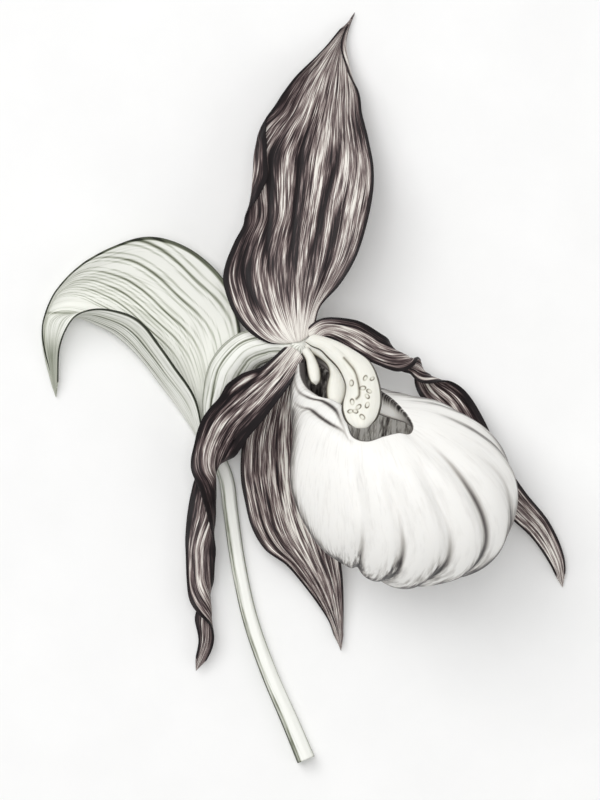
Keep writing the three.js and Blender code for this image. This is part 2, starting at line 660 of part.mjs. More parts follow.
const staminodeOnRails = bladeOnRails({
  left: [
    [0.9, 0.7, 16.2], [2.0, -0.1, 17.2], [3.3, -0.7, 18.4], [4.7, -2.1, 20.6],
    [6.2, -3.7, 23.2], [7.1, -5.4, 25.4], [7.5, -6.9, 27.0], [7.3, -8.2, 28.4],
    [6.9, -9.5, 29.6], [6.9, -10.8, 30.8], [7.7, -12.4, 31.8], [9.3, -13.1, 32.2],
  ],
  midrib: [
    [1.6, 1.1, 16.8], [4.8, 0.0, 19.6], [7.2, -1.8, 22.8], [8.9, -4.0, 25.8],
    [9.7, -6.2, 28.2], [9.9, -8.4, 30.2], [9.8, -10.6, 32.0], [9.8, -12.4, 32.9],
    [9.8, -13.3, 32.8],
  ],
  right: [
    [2.4, 1.3, 16.4], [4.8, 0.6, 18.0], [7.2, -0.4, 20.0], [9.7, -1.8, 22.4],
    [10.9, -2.7, 23.6], [11.8, -4.1, 25.2], [12.5, -6.2, 27.2], [12.8, -8.6, 29.2],
    [12.6, -10.4, 30.6], [11.9, -11.9, 31.6], [10.3, -13.1, 32.2],
  ],
});
const staminodeFold = (t, s) => 0.45 * Math.exp(-((s / 0.22) ** 2)) * within(0.1, 0.95, t);
const staminodeSurface = relief(staminodeOnRails, staminodeFold);

function staminode(grow) {
  return bladeSolid({
    surface: staminodeSurface, rows: 16, columns: 12, thickness: STAMINODE_THICKNESS, grow,
  });
}

const antherRadius = smoothTable([[0, 0.75], [0.3, 0.8], [0.7, 1.05], [0.92, 0.8], [1, 0.3]]);

function anther(centre, grow) {
  return tubeSolid({ centre, radius: antherRadius, sides: 10, rows: 10, grow });
}

const leftAnther = (grow) => anther(
  [[0.8, -0.7, 16.4], [1.6, -2.0, 17.6], [2.1, -3.6, 18.8], [2.4, -5.2, 19.6], [2.6, -6.4, 20.0]],
  grow,
);
const rightAnther = (grow) => anther(
  [[3.0, -0.6, 15.8], [5.0, -1.6, 16.8], [7.0, -2.8, 18.0], [8.6, -4.2, 19.4], [9.4, -5.2, 20.2]],
  grow,
);

// ---- the flower -----------------------------------------------------------------------------

// Every organ gives way to the ones before it in this list.
const ORGANS = [
  { name: 'staminode', shape: staminode, colour: 0xe9e2c6, roughness: 0.5 },
  { name: 'column', shape: column, colour: 0xdfe0bd, roughness: 0.5 },
  { name: 'anther_left', shape: leftAnther, colour: 0xece5c4, roughness: 0.55 },
  { name: 'anther_right', shape: rightAnther, colour: 0xece5c4, roughness: 0.55 },
  { name: 'petal_left', shape: leftPetal, colour: 0x5a2a2c, roughness: 0.6 },
  { name: 'petal_right', shape: rightPetal, colour: 0x5a2a2c, roughness: 0.6 },
  { name: 'lip', shape: lip, colour: 0xf1eee2, roughness: 0.4 },
  { name: 'dorsal_sepal', shape: dorsalSepal, colour: 0x5a2a2c, roughness: 0.6 },
  { name: 'synsepal', shape: synsepal, colour: 0x5a2a2c, roughness: 0.6 },
  { name: 'ovary', shape: ovary, colour: 0xaebf8f, roughness: 0.6 },
  { name: 'stem', shape: stem, colour: 0xb7c69a, roughness: 0.6 },
  { name: 'bract', shape: bract, colour: 0xc3cfa6, roughness: 0.6 },
];

function buildFlower() {
  const flower = new THREE.Group();
  flower.name = 'cypripedium_orchid';
  const grown = [];
  for (const { name, shape, colour, roughness } of ORGANS) {
    const material = new THREE.MeshStandardMaterial({ color: colour, roughness, metalness: 0 });
    const mesh = new THREE.Mesh(clearOf(shape(0), grown), material);
    mesh.name = name;
    mesh.position.copy(HEART);
    flower.add(mesh);
    grown.push(shape(GAP));
  }
  return flower;
}

export default buildFlower();
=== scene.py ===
"""Looks for the cut lady's-slipper orchid: fine organs, procedural materials, light, camera."""

import math

import bpy
import numpy as np
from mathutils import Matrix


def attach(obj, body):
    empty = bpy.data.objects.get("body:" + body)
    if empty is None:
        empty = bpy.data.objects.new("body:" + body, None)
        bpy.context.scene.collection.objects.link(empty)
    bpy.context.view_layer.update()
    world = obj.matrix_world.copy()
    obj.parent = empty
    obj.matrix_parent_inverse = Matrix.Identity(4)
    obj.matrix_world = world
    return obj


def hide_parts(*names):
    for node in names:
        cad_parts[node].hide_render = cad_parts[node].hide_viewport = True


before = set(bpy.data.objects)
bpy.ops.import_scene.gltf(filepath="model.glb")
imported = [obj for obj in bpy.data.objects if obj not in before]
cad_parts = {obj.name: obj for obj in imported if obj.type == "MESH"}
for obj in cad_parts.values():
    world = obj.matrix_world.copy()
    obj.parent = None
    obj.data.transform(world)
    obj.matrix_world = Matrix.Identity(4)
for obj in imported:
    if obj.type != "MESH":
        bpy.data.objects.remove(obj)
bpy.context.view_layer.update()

# lengths are in millimetres, and the organs' points are measured from ORIGIN
MM = 0.001
ORIGIN = np.array([-0.49, 6.75, 0.088])
HEART = np.array([0.2, 0.8, 14.5])  # where the organs meet
UP = np.array([0.0, 0.0, 1.0])


# ---- curves and tables ----

def unit(vectors):
    return vectors / np.maximum(np.linalg.norm(vectors, axis=-1, keepdims=True), 1e-12)


def lerp(a, b, u):
    return a + (b - a) * u


def smoothstep(x, start, end):
    u = np.clip((np.asarray(x, float) - start) / (end - start), 0, 1)
    return u * u * (3 - 2 * u)


def within(start, end, t):
    """1 inside a stretch of t, falling smoothly to 0 at both of its ends."""
    fade = (end - start) * 0.4
    return smoothstep(t, start, start + fade) * (1 - smoothstep(t, end - fade, end))


def curve_through(points):
    """Centripetal Catmull-Rom curve, read by the share of its length from 0 to 1."""
    knots = np.array(points, float)
    spans = len(knots) - 1
    ends = np.vstack([2 * knots[0] - knots[1], knots, 2 * knots[-1] - knots[-2]])

    def root_distance(a, b):
        return np.maximum(((a - b) ** 2).sum(-1) ** 0.25, 1e-9)[..., None]

    def raw(u):
        place = np.clip(u, 0, 1) * spans
        i = np.minimum(place.astype(int), spans - 1)
        w = (place - i)[..., None]
        a, b, c, d = ends[i], ends[i + 1], ends[i + 2], ends[i + 3]
        ab, bc, cd = root_distance(a, b), root_distance(b, c), root_distance(c, d)
        start = ((b - a) / ab - (c - a) / (ab + bc) + (c - b) / bc) * bc
        end = ((c - b) / bc - (d - b) / (bc + cd) + (d - c) / cd) * bc
        bend = -3 * b + 3 * c - 2 * start - end
        return b + w * start + w * w * bend + w ** 3 * (2 * b - 2 * c + start + end)

    params = np.linspace(0, 1, 401)
    steps = np.linalg.norm(np.diff(raw(params), axis=0), axis=1)
    lengths = np.concatenate([[0], np.cumsum(steps)])
    lengths /= lengths[-1]
    return lambda u: raw(np.interp(np.clip(u, 0, 1), lengths, params))


def smooth_table(pairs, period=0):
    """Smooth function through (x, y) pairs; with a period the table wraps round."""
    x, y = np.array(pairs, float).T
    if period:
        x = np.concatenate([x - period, x, x + period])
        y = np.tile(y, 3)
    last = len(x) - 1
    place = np.arange(last + 1)
    before, after = np.maximum(place - 1, 0), np.minimum(place + 1, last)
    slopes = (y[after] - y[before]) / (x[after] - x[before])

    def read(value):
        value = np.asarray(value, float)
        i = np.clip(np.searchsorted(x, value, side="left") - 1, 0, last - 1)
        width, rise = x[i + 1] - x[i], y[i + 1] - y[i]
        u = np.clip((value - x[i]) / width, 0, 1)
        bend0 = slopes[i] * width - rise
        bend1 = rise - slopes[i + 1] * width
        return y[i] + rise * u + u * (1 - u) * (bend0 * (1 - u) + bend1 * u)

    return read


# ---- blade surfaces: t runs from base 0 to tip 1, s from the left margin -1 to the right 1 ----

def blade_on_rails(left, midrib, right):
    rails = [curve_through(points) for points in (left, midrib, right)]

    def surface(t, s):
        a, middle, b = (rail(t) for rail in rails)
        s = s[..., None]
        return middle + (b - a) * s / 2 + ((a + b) / 2 - middle) * s * s

    return surface


def ribbon(centre, half_width, twist, cup):
    """A ribbon along a centre line that turns round it by twist(t) degrees.

    cup(t) is the depth of its channel as a share of its half width."""
    line = curve_through(centre)

    def surface(t, s):
        t = np.clip(t, 0, 1)
        tangent = unit(line(t + 0.001) - line(t - 0.001))
        side = unit(np.cross(tangent, UP))
        face = np.cross(side, tangent)
        turn = np.radians(twist(t))[..., None]
        across = side * np.cos(turn) + face * np.sin(turn)
        out = face * np.cos(turn) - side * np.sin(turn)
        width = half_width(t)[..., None]
        s = s[..., None]
        depth = cup(t)[..., None] * width
        return line(t) + across * s * width + out * depth * (s * s - 0.5)

    return surface


def normal_at(surface, t, s):
    step = 0.004
    along = surface(np.minimum(t + step, 1), s) - surface(np.maximum(t - step, 0), s)
    across = surface(t, s + step) - surface(t, s - step)
    return unit(np.cross(across, along))


def relief(surface, height):
    """Lifts a surface along its normal by height(t, s)."""
    return lambda t, s: surface(t, s) + normal_at(surface, t, s) * height(t, s)[..., None]


def turn_margin(surface, side, hinge, bend):
    """Turns the margin past s = hinge(t) up over the face.

    bend(t, past, length) gives the radius and angle of the turn, and how much of the length
    runs on straight after it; past is how far in s a point lies beyond the hinge."""
    def turned(t, s):
        flat, edge = surface(t, s), surface(t, side * hinge(t))
        past = side * s - hinge(t)
        length = np.linalg.norm(flat - edge, axis=-1, keepdims=True)
        radius, angle, beyond = bend(t, past, length)
        rolled = (edge + unit(flat - edge) * (radius * np.sin(angle) - beyond)
                  + normal_at(surface, t, side * hinge(t)) * radius * (1 - np.cos(angle)))
        return np.where(past[..., None] > 0, rolled, flat)

    return turned


def curl(hinge, stretch, turn):
    """An even curl by a turn in degrees, between two places along the blade."""
    def bend(t, past, length):
        share = np.maximum(past, 0) / (1 - hinge)
        angle = np.maximum(np.radians(turn) * within(*stretch, t) * share, 1e-4)[..., None]
        return length / angle, angle, 0.0

    return bend


def fold(kept, radius):
    """A flat fold round a small radius; kept(t) is the share of its width that a margin keeps."""
    def bend(t, past, length):
        length = length * kept(t)[..., None]
        angle = np.minimum(length / radius, math.pi)
        return radius, angle, length - radius * angle

    return bend


# ---- meshes ----

MARGIN_STEPS = 3  # rows of points round the edge between a blade's two faces
BASE_ROUND = 0.02  # stretch of t over which a blade's base is rounded


def add_object(name, data):
    made = bpy.data.objects.new(name, data)
    bpy.context.scene.collection.objects.link(made)
    return made


def add_mesh(name, points, faces, paint):
    """A smooth mesh whose faces look outward; paint is {attribute: a value for each vertex}.

    A face that a closing fan or cap gave twice the same corner keeps it once."""
    triangles = np.concatenate([faces[:, [0, 1, 2]], faces[:, [0, 2, 3]]])
    a, b, c = (points[triangles[:, k]] for k in range(3))
    signed_volume = np.einsum("ij,ij->i", np.cross(a, b), c).sum()
    order = -1 if signed_volume < 0 else 1
    rows = [list(dict.fromkeys(row))[::order] for row in faces.tolist()]
    mesh = bpy.data.meshes.new(name)
    mesh.from_pydata(((points + ORIGIN) * MM).tolist(), [], rows)
    for key, values in paint.items():
        kind, field = ("FLOAT_VECTOR", "vector") if values.ndim == 2 else ("FLOAT", "value")
        layer = mesh.attributes.new(key, kind, "POINT")
        layer.data.foreach_set(field, np.ascontiguousarray(values, np.float32).ravel())
    mesh.polygons.foreach_set("use_smooth", np.ones(len(mesh.polygons), bool))
    return add_object(name, mesh)


def grid_faces(rows, columns):
    """Quads of a grid of points whose last column meets the first."""
    i = np.arange(rows - 1)[:, None] * columns
    j = np.arange(columns)[None, :]
    following = (j + 1) % columns
    quads = np.stack([i + j, i + following, i + columns + following, i + columns + j], -1)
    return quads.reshape(-1, 4)


def blade_cap(row, columns):
    """Closes one end of a flat loop, face to face, from margin to margin."""
    count = 2 * (columns + 1 + MARGIN_STEPS)
    place = np.arange(-2, columns + 3)
    front = row + place % count
    back = row + (2 * columns + 1 + MARGIN_STEPS - place) % count
    return np.stack([front[:-1], front[1:], back[1:], back[:-1]], -1)


def rounded_end(distance, reach):
    """Share of the full size near an end that closes in a half circle."""
    return np.sqrt(np.clip(1 - (1 - np.clip(distance / reach, 0.0, 1)) ** 2, 1e-4, 1))


def point_tip(reach):
    """A tip that runs out in a point over the last stretch of t."""
    return lambda distance: np.clip(distance / reach, 0.02, 1) ** 0.7


def round_tip(reach):
    """A tip that closes in a half circle."""
    return lambda distance: rounded_end(distance, reach)


def blade_mesh(name, surface, rows, columns, thickness, edge, size, tone, streak, tip):
    """A blade as one closed skin that thins from thickness to edge at its rounded margins.

    size is its width and length; tip(distance) is its share of the full width near the tip."""
    even = np.linspace(0, 1, rows + 1)
    t_line = lerp(even, 0.5 - 0.5 * np.cos(np.pi * even), 0.35)
    crowding = 0.43 * math.pi
    s_line = np.sin(np.linspace(-crowding, crowding, columns + 1)) / math.sin(crowding)
    t, s = np.meshgrid(t_line, s_line, indexing="ij")
    closing = rounded_end(t, BASE_ROUND) * tip(1 - t)
    s = s * closing
    middle = surface(t, s)
    normal = normal_at(surface, t, s)
    half = (lerp(thickness, edge, np.abs(s) ** 4) / 2 * closing)[..., None]
    front, back = middle + normal * half, middle - normal * half

    def margin(column, inner):
        out = unit(middle[:, column] - middle[:, inner])
        radius, up = half[:, column], normal[:, column]
        turns = np.linspace(0, math.pi, MARGIN_STEPS + 2)[1:-1]
        return np.stack([middle[:, column] + (up * math.cos(turn) + out * math.sin(turn)) * radius
                         for turn in turns], 1)

    def round_loop(on_front, on_right, on_back, on_left):
        right, left = (np.repeat(values, MARGIN_STEPS, 1) for values in (on_right, on_left))
        return np.concatenate([on_front, right, on_back, left], 1)

    loop = np.concatenate([front, margin(-1, -2), back[:, ::-1], margin(0, 1)[:, ::-1]], 1)
    s_loop = round_loop(s, s[:, -1:], s[:, ::-1], s[:, :1])
    on_edge = np.zeros((rows + 1, 1))
    side = round_loop(np.ones_like(s), on_edge, -np.ones_like(s), on_edge)
    count = s_loop.shape[1]
    t_loop = np.repeat(t[:, :1], count, 1)
    faces = np.concatenate([grid_faces(rows + 1, count), blade_cap(0, columns)[:, ::-1],
                            blade_cap(rows * count, columns)])
    grain = np.stack([s_loop * size[0] / 2, t_loop * size[1], side * 3], -1)
    paint = {"tone": tone(t_loop, s_loop, side, loop).ravel(),
             "streak": streak(t_loop, s_loop, side, loop).ravel(),
             "grain": grain.reshape(-1, 3)}
    return add_mesh(name, loop.reshape(-1, 3), faces, paint)


def ring_mesh(name, rings, paint):
    """A skin through rows of rings, each end closed by a fan."""
    rows, sides = rings.shape[:2]
    points = np.concatenate([rings.reshape(-1, 3), [rings[0].mean(0)], [rings[-1].mean(0)]])
    j = np.arange(sides)
    following = (j + 1) % sides
    start, end, last = rows * sides, rows * sides + 1, (rows - 1) * sides
    fan0 = np.stack([following, j, np.full(sides, start), np.full(sides, start)], -1)
    fan1 = np.stack([last + j, last + following, np.full(sides, end), np.full(sides, end)], -1)
    faces = np.concatenate([grid_faces(rows, sides), fan0, fan1])
    full = {}
    for key, values in paint.items():
        flat = values.reshape(rows * sides, -1)
        ends = np.stack([flat[:sides].mean(0), flat[-sides:].mean(0)])
        joined = np.concatenate([flat, ends])
        full[key] = joined if joined.shape[1] == 3 else joined[:, 0]
    return add_mesh(name, points, faces, full)


def tube_mesh(name, centre, radius, sides, rows, tone, streak, shape=None, flatten=None,
              end_round=0.0):
    """A tube whose ring radius is scaled by shape(angle, t); angle 0 points down."""
    line = curve_through(centre)
    turns = np.linspace(0, 2 * math.pi, sides + 1)[:-1]
    t, angle = np.meshgrid(np.linspace(0, 1, rows + 1), turns, indexing="ij")
    tangent = unit(line(np.minimum(t + 0.001, 1)) - line(np.maximum(t - 0.001, 0)))
    side = unit(np.cross(UP, tangent))
    down = np.cross(side, tangent)
    reach = radius(t) * (shape(angle, t) if shape else 1)
    if end_round:
        reach = reach * rounded_end(1 - t, end_round) * rounded_end(t, end_round)
    squeeze = flatten(t) if flatten else 1
    rings = (line(t) + down * (reach * np.cos(angle) * squeeze)[..., None]
             + side * (reach * np.sin(angle))[..., None])
    length = np.linalg.norm(np.diff(line(np.linspace(0, 1, 200)), axis=0), axis=1).sum()
    half_way = float(radius(np.array(0.5)))
    grain = np.stack([half_way * np.cos(angle), t * length, half_way * np.sin(angle)], -1)
    paint = {"tone": tone(t, angle, rings), "streak": streak(t, angle, rings), "grain": grain}
    return ring_mesh(name, rings, paint)


# ---- materials ----

class Shader:
    """Node tree of one material, built value by value."""

    def __init__(self, name):
        self.material = bpy.data.materials.new(name)
        self.material.use_nodes = True
        self.tree = self.material.node_tree
        self.surface = self.tree.nodes["Principled BSDF"]

    def node(self, kind, inputs=(), **settings):
        made = self.tree.nodes.new(kind)
        for key, value in settings.items():
            setattr(made, key, value)
        for key, value in dict(inputs).items():
            self.feed(made.inputs[key], value)
        return made

    def feed(self, socket, value):
        if isinstance(value, bpy.types.NodeSocket):
            self.tree.links.new(value, socket)
        else:
            socket.default_value = value

    def set(self, name, value):
        self.feed(self.surface.inputs[name], value)

    def attribute(self, name, output="Fac"):
        return self.node("ShaderNodeAttribute", attribute_name=name).outputs[output]

    def maths(self, operation, a, b=0.0, clamp=False):
        made = self.node("ShaderNodeMath", {0: a, 1: b}, operation=operation, use_clamp=clamp)
        return made.outputs[0]

    def noise(self, vector, stretch, detail):
        """Noise with stretch cycles a millimetre along each axis of the vector."""
        scaled = self.node("ShaderNodeVectorMath", {0: vector, 1: stretch}, operation="MULTIPLY")
        made = self.node("ShaderNodeTexNoise", {
            "Vector": scaled.outputs[0], "Scale": 1.0, "Detail": detail, "Roughness": 0.55})
        return made.outputs[0]

    def centred(self, value, amount):
        return self.maths("MULTIPLY", self.maths("SUBTRACT", value, 0.5), amount)

    def ramp(self, value, stops):
        made = self.node("ShaderNodeValToRGB", {0: value})
        ramp = made.color_ramp
        while len(ramp.elements) < len(stops):
            ramp.elements.new(0.5)
        for element, (place, colour) in zip(ramp.elements, stops):
            element.position = place
            element.color = (*colour, 1)
        return made.outputs[0]


def plant_material(name, stops, grain, strength, roughness, bump, subsurface=0.0, coat=0.0,
                   painted_glow=0.0):
    """Tissue coloured from dark to pale by its tone, broken up by long fine streaks.

    stops are (tone, colour); grain is streaks a millimetre across and along the organ;
    strength is how far coarse, fine and blotchy variation move the tone; painted_glow is
    painted light: an emission in the tissue's own colour on the side that its "inner" attribute marks."""
    shader = Shader(name)
    along = shader.attribute("grain", "Vector")
    across, length = grain
    coarse = shader.noise(along, (across, length, across), detail=2.0)
    fine = shader.noise(along, (across * 2.7, length * 3.2, across * 2.7), detail=3.0)
    blotch = shader.noise(along, (0.16, 0.07, 0.16), detail=2.0)
    streaks = shader.maths("ADD", shader.centred(coarse, strength[0]),
                           shader.centred(fine, strength[1]))
    streaks = shader.maths("MULTIPLY", streaks, shader.attribute("streak"))
    tone = shader.maths("ADD", shader.attribute("tone"), streaks)
    tone = shader.maths("ADD", tone, shader.centred(blotch, strength[2]), clamp=True)
    colour = shader.ramp(tone, stops)
    shader.set("Base Color", colour)
    # painted light: the tissue glows in its own colour as strongly as its "inner" attribute says
    if painted_glow:
        shader.set("Emission Color", colour)
        lit = shader.maths("MULTIPLY", shader.attribute("inner"), painted_glow)
        shader.set("Emission Strength", lit)
    uneven = shader.maths("MULTIPLY", shader.maths("SUBTRACT", fine, 0.5), 0.25)
    shader.set("Roughness", shader.maths("ADD", uneven, roughness))
    height = shader.maths("ADD", coarse, shader.maths("MULTIPLY", fine, 0.6))
    lifted = shader.node("ShaderNodeBump", {"Height": height, "Strength": bump, "Distance": 0.0001})
    shader.set("Normal", lifted.outputs[0])
    shader.set("Subsurface Weight", subsurface)
    shader.set("Subsurface Radius", (1.5, 1.3, 1.1))
    shader.set("Subsurface Scale", MM)
    shader.set("Specular IOR Level", 0.25)
    shader.set("Coat Weight", coat)
    return shader.material


MAROON = [(0.0, (0.008, 0.005, 0.006)), (0.28, (0.032, 0.020, 0.021)),
          (0.55, (0.140, 0.101, 0.099)), (0.78, (0.41, 0.35, 0.325)), (1.0, (0.86, 0.83, 0.77))]
GREEN = [(0.0, (0.022, 0.025, 0.016)), (0.35, (0.17, 0.185, 0.13)),
         (0.7, (0.58, 0.595, 0.52)), (1.0, (0.92, 0.925, 0.875))]
IVORY = [(0.0, (0.010, 0.008, 0.008)), (0.35, (0.13, 0.117, 0.112)),
         (0.7, (0.53, 0.51, 0.48)), (1.0, (0.92, 0.91, 0.88))]
CREAM = [(0.0, (0.012, 0.009, 0.008)), (0.35, (0.16, 0.14, 0.11)),
         (0.7, (0.60, 0.58, 0.49)), (1.0, (0.90, 0.89, 0.82))]

sepal_look = plant_material("sepal_tissue", MAROON, (2.2, 0.08), (1.7, 2.2, 0.12), 0.52, 0.5)
petal_look = plant_material("petal_tissue", MAROON, (2.2, 0.08), (1.7, 2.2, 0.12), 0.5, 0.5)
bract_look = plant_material("bract_tissue", GREEN, (1.5, 0.04), (0.55, 0.8, 0.05), 0.55, 0.4)
stem_look = plant_material("stem_tissue", GREEN, (1.8, 0.09), (1.2, 0.9, 0.04), 0.55, 0.4)
ovary_look = plant_material("ovary_tissue", GREEN, (1.4, 0.12), (0.5, 0.5, 0.05), 0.58, 0.4)
lip_look = plant_material("lip_tissue", IVORY, (1.3, 0.10), (2.0, 2.6, 0.03), 0.42, 0.25,
                          subsurface=0.04, coat=0.05, painted_glow=0.1)
cream_look = plant_material("cream_tissue", CREAM, (1.6, 0.25), (0.35, 0.3, 0.04), 0.42, 0.2,
                            subsurface=0.1)


# ---- patterns ----

def stripe(value, centre, width):
    return np.exp(-((value - centre) / width) ** 2)


def near_heart(points, start, end):
    """1 at the heart, falling to 0 between two distances from it."""
    return 1 - smoothstep(np.linalg.norm(points - HEART, axis=-1), start, end)


def burst(points):
    """Fine strokes that run out from around the heart."""
    east, north = points[..., 0] - HEART[0], points[..., 1] - HEART[1]
    strokes = np.cos(19 * np.arctan2(north, east) + 2 * np.sin(0.9 * east))
    return smoothstep(strokes, 0.2, 1.0) * smoothstep(np.hypot(east, north), 0.5, 1.6)


def furrow(value, centre, width):
    """A soft dark band with a sharp line along its middle."""
    return 0.75 * stripe(value, centre, width) + 0.6 * stripe(value, centre, 0.3 * width)


def furrows(t, s, centres, depth, width, drift, stretch):
    """Furrows along a blade, all of one depth and width, that drift a little sideways."""
    total = sum(depth * furrow(s, centre + drift, width) for centre in centres)
    return total * within(*stretch, t)


def margin_line(s, start):
    return smoothstep(np.abs(s), start, lerp(start, 1.0, 0.65))


def paled_to_heart(tone, points, s, start, end, margin):
    """A tone that pales to white towards the heart, where its dark margin stays in part."""
    return lerp(tone, 1.0, near_heart(points, start, end) * (1 - 0.6 * margin_line(s, margin)))


def all_over(amount):
    """A pattern with one value all over an organ."""
    return lambda t, *place: np.full_like(t, amount)


def fewer_at_heart(share, end):
    """Streaks that lose a share of their strength towards the heart."""
    return lambda t, s, side, points: 1 - share * near_heart(points, 1.0, end)


# ---- dorsal sepal ----

dorsal_on_rails = blade_on_rails(
    left=[
        (-1.9, 0.3, 13.8), (-5.1, 0.4, 13.6), (-8, 2.1, 13.6), (-10.4, 5, 13.6), (-11.8, 8.3, 13.6),
        (-12.3, 10.7, 13.6), (-11.9, 13.1, 13.6), (-10.5, 16.5, 13.4), (-8.8, 19.8, 13),
        (-9.1, 23.7, 12.4), (-10.1, 27.6, 11.6), (-10.7, 31, 10.8), (-8, 34.8, 10), (-4.9, 37.3, 8.4),
        (-2.7, 40.5, 6.8), (-0.4, 43.4, 5.2), (2.9, 46.4, 3.7), (5.1, 48.5, 2.6), (7.4, 51.2, 1.4),
        (8.6, 53.4, 0.6),
    ],
    midrib=[
        (0, 0.5, 14), (0.2, 7.2, 13.2), (1, 15.2, 11.8), (2.2, 23.2, 10), (3.4, 31.2, 7.8),
        (4.7, 39.2, 5.2), (5.8, 45, 3), (6.7, 48.6, 1.7), (7.7, 51.3, 0.8), (8.8, 53.5, 0.42),
    ],
    right=[
        (2, 1.8, 13.8), (3.2, 6.2, 13.8), (6.1, 9.9, 13.9), (8.8, 14.4, 13.6), (10.8, 19.7, 12.8),
        (11.8, 24.6, 11.6), (11.7, 28.6, 10.4), (10.6, 32.8, 9.2), (9.5, 37.2, 7.6), (9.4, 41, 6.2),
        (8.3, 45, 4.2), (7.4, 48.4, 2.6), (7.8, 51.2, 1.5), (9, 53.4, 0.6),
    ],
)
# dark furrows, left to right: [(t, s) along it], half width in s, darkness, start and end
DORSAL_FURROWS = [
    ([(0.08, -0.62), (0.14, -0.7), (0.2, -0.76), (0.3, -0.79)], 0.09, 0.50, 0.04, 0.38),
    ([(0.14, -0.4), (0.23, -0.47), (0.31, -0.57), (0.4, -0.66), (0.5, -0.6), (0.59, -0.58),
      (0.72, -0.66)], 0.08, 0.50, 0.08, 0.78),
    ([(0.1, -0.13), (0.2, -0.16), (0.29, -0.21), (0.39, -0.26), (0.48, -0.24), (0.6, -0.27),
      (0.75, -0.24)], 0.10, 0.60, 0.08, 0.80),
    ([(0.1, 0.14), (0.26, 0.11), (0.35, 0.16), (0.45, 0.21), (0.55, 0.28), (0.64, 0.42)],
     0.10, 0.60, 0.07, 0.72),
    ([(0.08, 0.47), (0.22, 0.41), (0.35, 0.42), (0.5, 0.6)], 0.09, 0.52, 0.05, 0.48),
]
dorsal_tracks = [(smooth_table(row[0]), *row[1:]) for row in DORSAL_FURROWS]


def dorsal_furrows(t, s):
    return sum(depth * furrow(s, track(t), width) * within(start, end, t)
               for track, width, depth, start, end in dorsal_tracks)


def dorsal_height(t, s):
    ripple = 0.5 * np.abs(s) ** 3 * np.sin(14 * t + 2 * s)
    return ripple - 0.30 * dorsal_furrows(t, s) + 0.03 * np.cos(34 * s) * within(0.1, 0.95, t)


# where in s the left margin folds over, and the share of its own width that it keeps
dorsal_hinge = smooth_table([
    (0, 1.1), (0.36, 1.02), (0.42, 0.88), (0.46, 0.81), (0.5, 0.77), (0.54, 0.75), (0.57, 0.775),
    (0.6, 0.83), (0.63, 0.88), (0.66, 0.94), (0.7, 1.02), (1, 1.1),
])
dorsal_flap = smooth_table([(0, 1.1), (0.46, 1.1), (0.54, 0.68), (0.6, 0.75), (1, 0.8)])
dorsal_surface = relief(dorsal_on_rails, dorsal_height)
dorsal_surface = turn_margin(dorsal_surface, -1, dorsal_hinge, fold(dorsal_flap, 0.55))
dorsal_surface = turn_margin(dorsal_surface, 1, all_over(0.6), curl(0.6, (0.7, 0.97), 110))


def dorsal_lights(t, s):
    """Pale ridges halfway between neighbouring furrows."""
    tracks = [row[0](t) for row in dorsal_tracks]
    middles = [(left + right) / 2 for left, right in zip(tracks, tracks[1:])]
    return sum(stripe(s, middle, 0.07) for middle in middles) * within(0.08, 0.85, t)


def dorsal_tone(t, s, side, points):
    tone = 0.60 - dorsal_furrows(t, s) * np.where(side < 0, 0.5, 1.0)
    tone += 0.14 * dorsal_lights(t, s)
    tone += 0.18 * stripe(s, 0.72, 0.12) * within(0.25, 0.6, t)
    tone -= 0.12 * smoothstep(np.abs(s), 0.7, 0.95)
    # painted shade under the folded-over left margin
    tone -= 0.55 * stripe(s, -0.63 - 1.6 * np.maximum(t - 0.46, 0), 0.05) * within(0.40, 0.60, t)
    tone += 0.35 * smoothstep(s, 0.62, 0.7) * within(0.7, 0.92, t)
    tone -= 0.25 * smoothstep(-s, 0.5, 0.75) * within(0.5, 0.88, t)
    tone -= 0.35 * stripe(t, 0.64, 0.06) * smoothstep(s, 0.45, 0.8)
    tone -= 0.25 * smoothstep(t, 0.93, 1.0)
    tone -= 0.8 * margin_line(s, 0.935)
    return paled_to_heart(tone, points, s, 1.5, 8.5, 0.9)


dorsal = blade_mesh("dorsal_sepal_fine", dorsal_surface, 260, 90, 0.62, 0.26, (22, 54),
                    dorsal_tone, fewer_at_heart(0.45, 7.0), point_tip(0.05))


# ---- synsepal ----

synsepal_on_rails = blade_on_rails(
    left=[
        (-1.9, -3, 12.4), (-5.2, -7.2, 10.2), (-7.6, -11, 8.2), (-9, -14.9, 6.6), (-9.3, -21, 5.4),
        (-8.6, -25.1, 5), (-7.6, -29.3, 4.7), (-5.6, -32.8, 4.2), (-2.2, -35.4, 3.6), (0, -37.8, 3),
        (2.7, -41.2, 2.4), (4.8, -44.3, 1.9), (5.7, -46.5, 1.6), (6.4, -49, 1.1),
    ],
    midrib=[
        (-0.5, -2.7, 12.2), (-1.6, -6.4, 10), (-2.4, -12, 7), (-2.6, -17.6, 4.9), (-2.2, -23.2, 3.7),
        (-1, -28.8, 3.1), (1.4, -34.1, 2.7), (3.7, -38.6, 2.3), (5.4, -43.4, 1.8), (6.2, -46.6, 1.4),
        (6.6, -49.1, 1),
    ],
    right=[
        (0.8, -3.2, 12.2), (3, -7, 9.4), (4.6, -12, 6.6), (5.4, -17.6, 4.6), (5.8, -23.2, 3.7),
        (6.2, -28.8, 3.3), (6.4, -33.5, 3), (6.8, -37.4, 2.6), (6.9, -41.4, 2.1), (6.8, -46, 1.5),
        (6.8, -49, 1.1),
    ],
)
SYNSEPAL_FURROWS = [-0.72, -0.45, -0.2, 0.12, 0.45, 0.75]


def synsepal_furrows(t, s):
    return furrows(t, s, SYNSEPAL_FURROWS, 0.34, 0.08, 0.05 * np.sin(7 * t), (0.05, 0.97))


def synsepal_height(t, s):
    return 0.4 * np.abs(s) ** 3 * np.sin(11 * t + 3 * s) - 0.4 * synsepal_furrows(t, s)


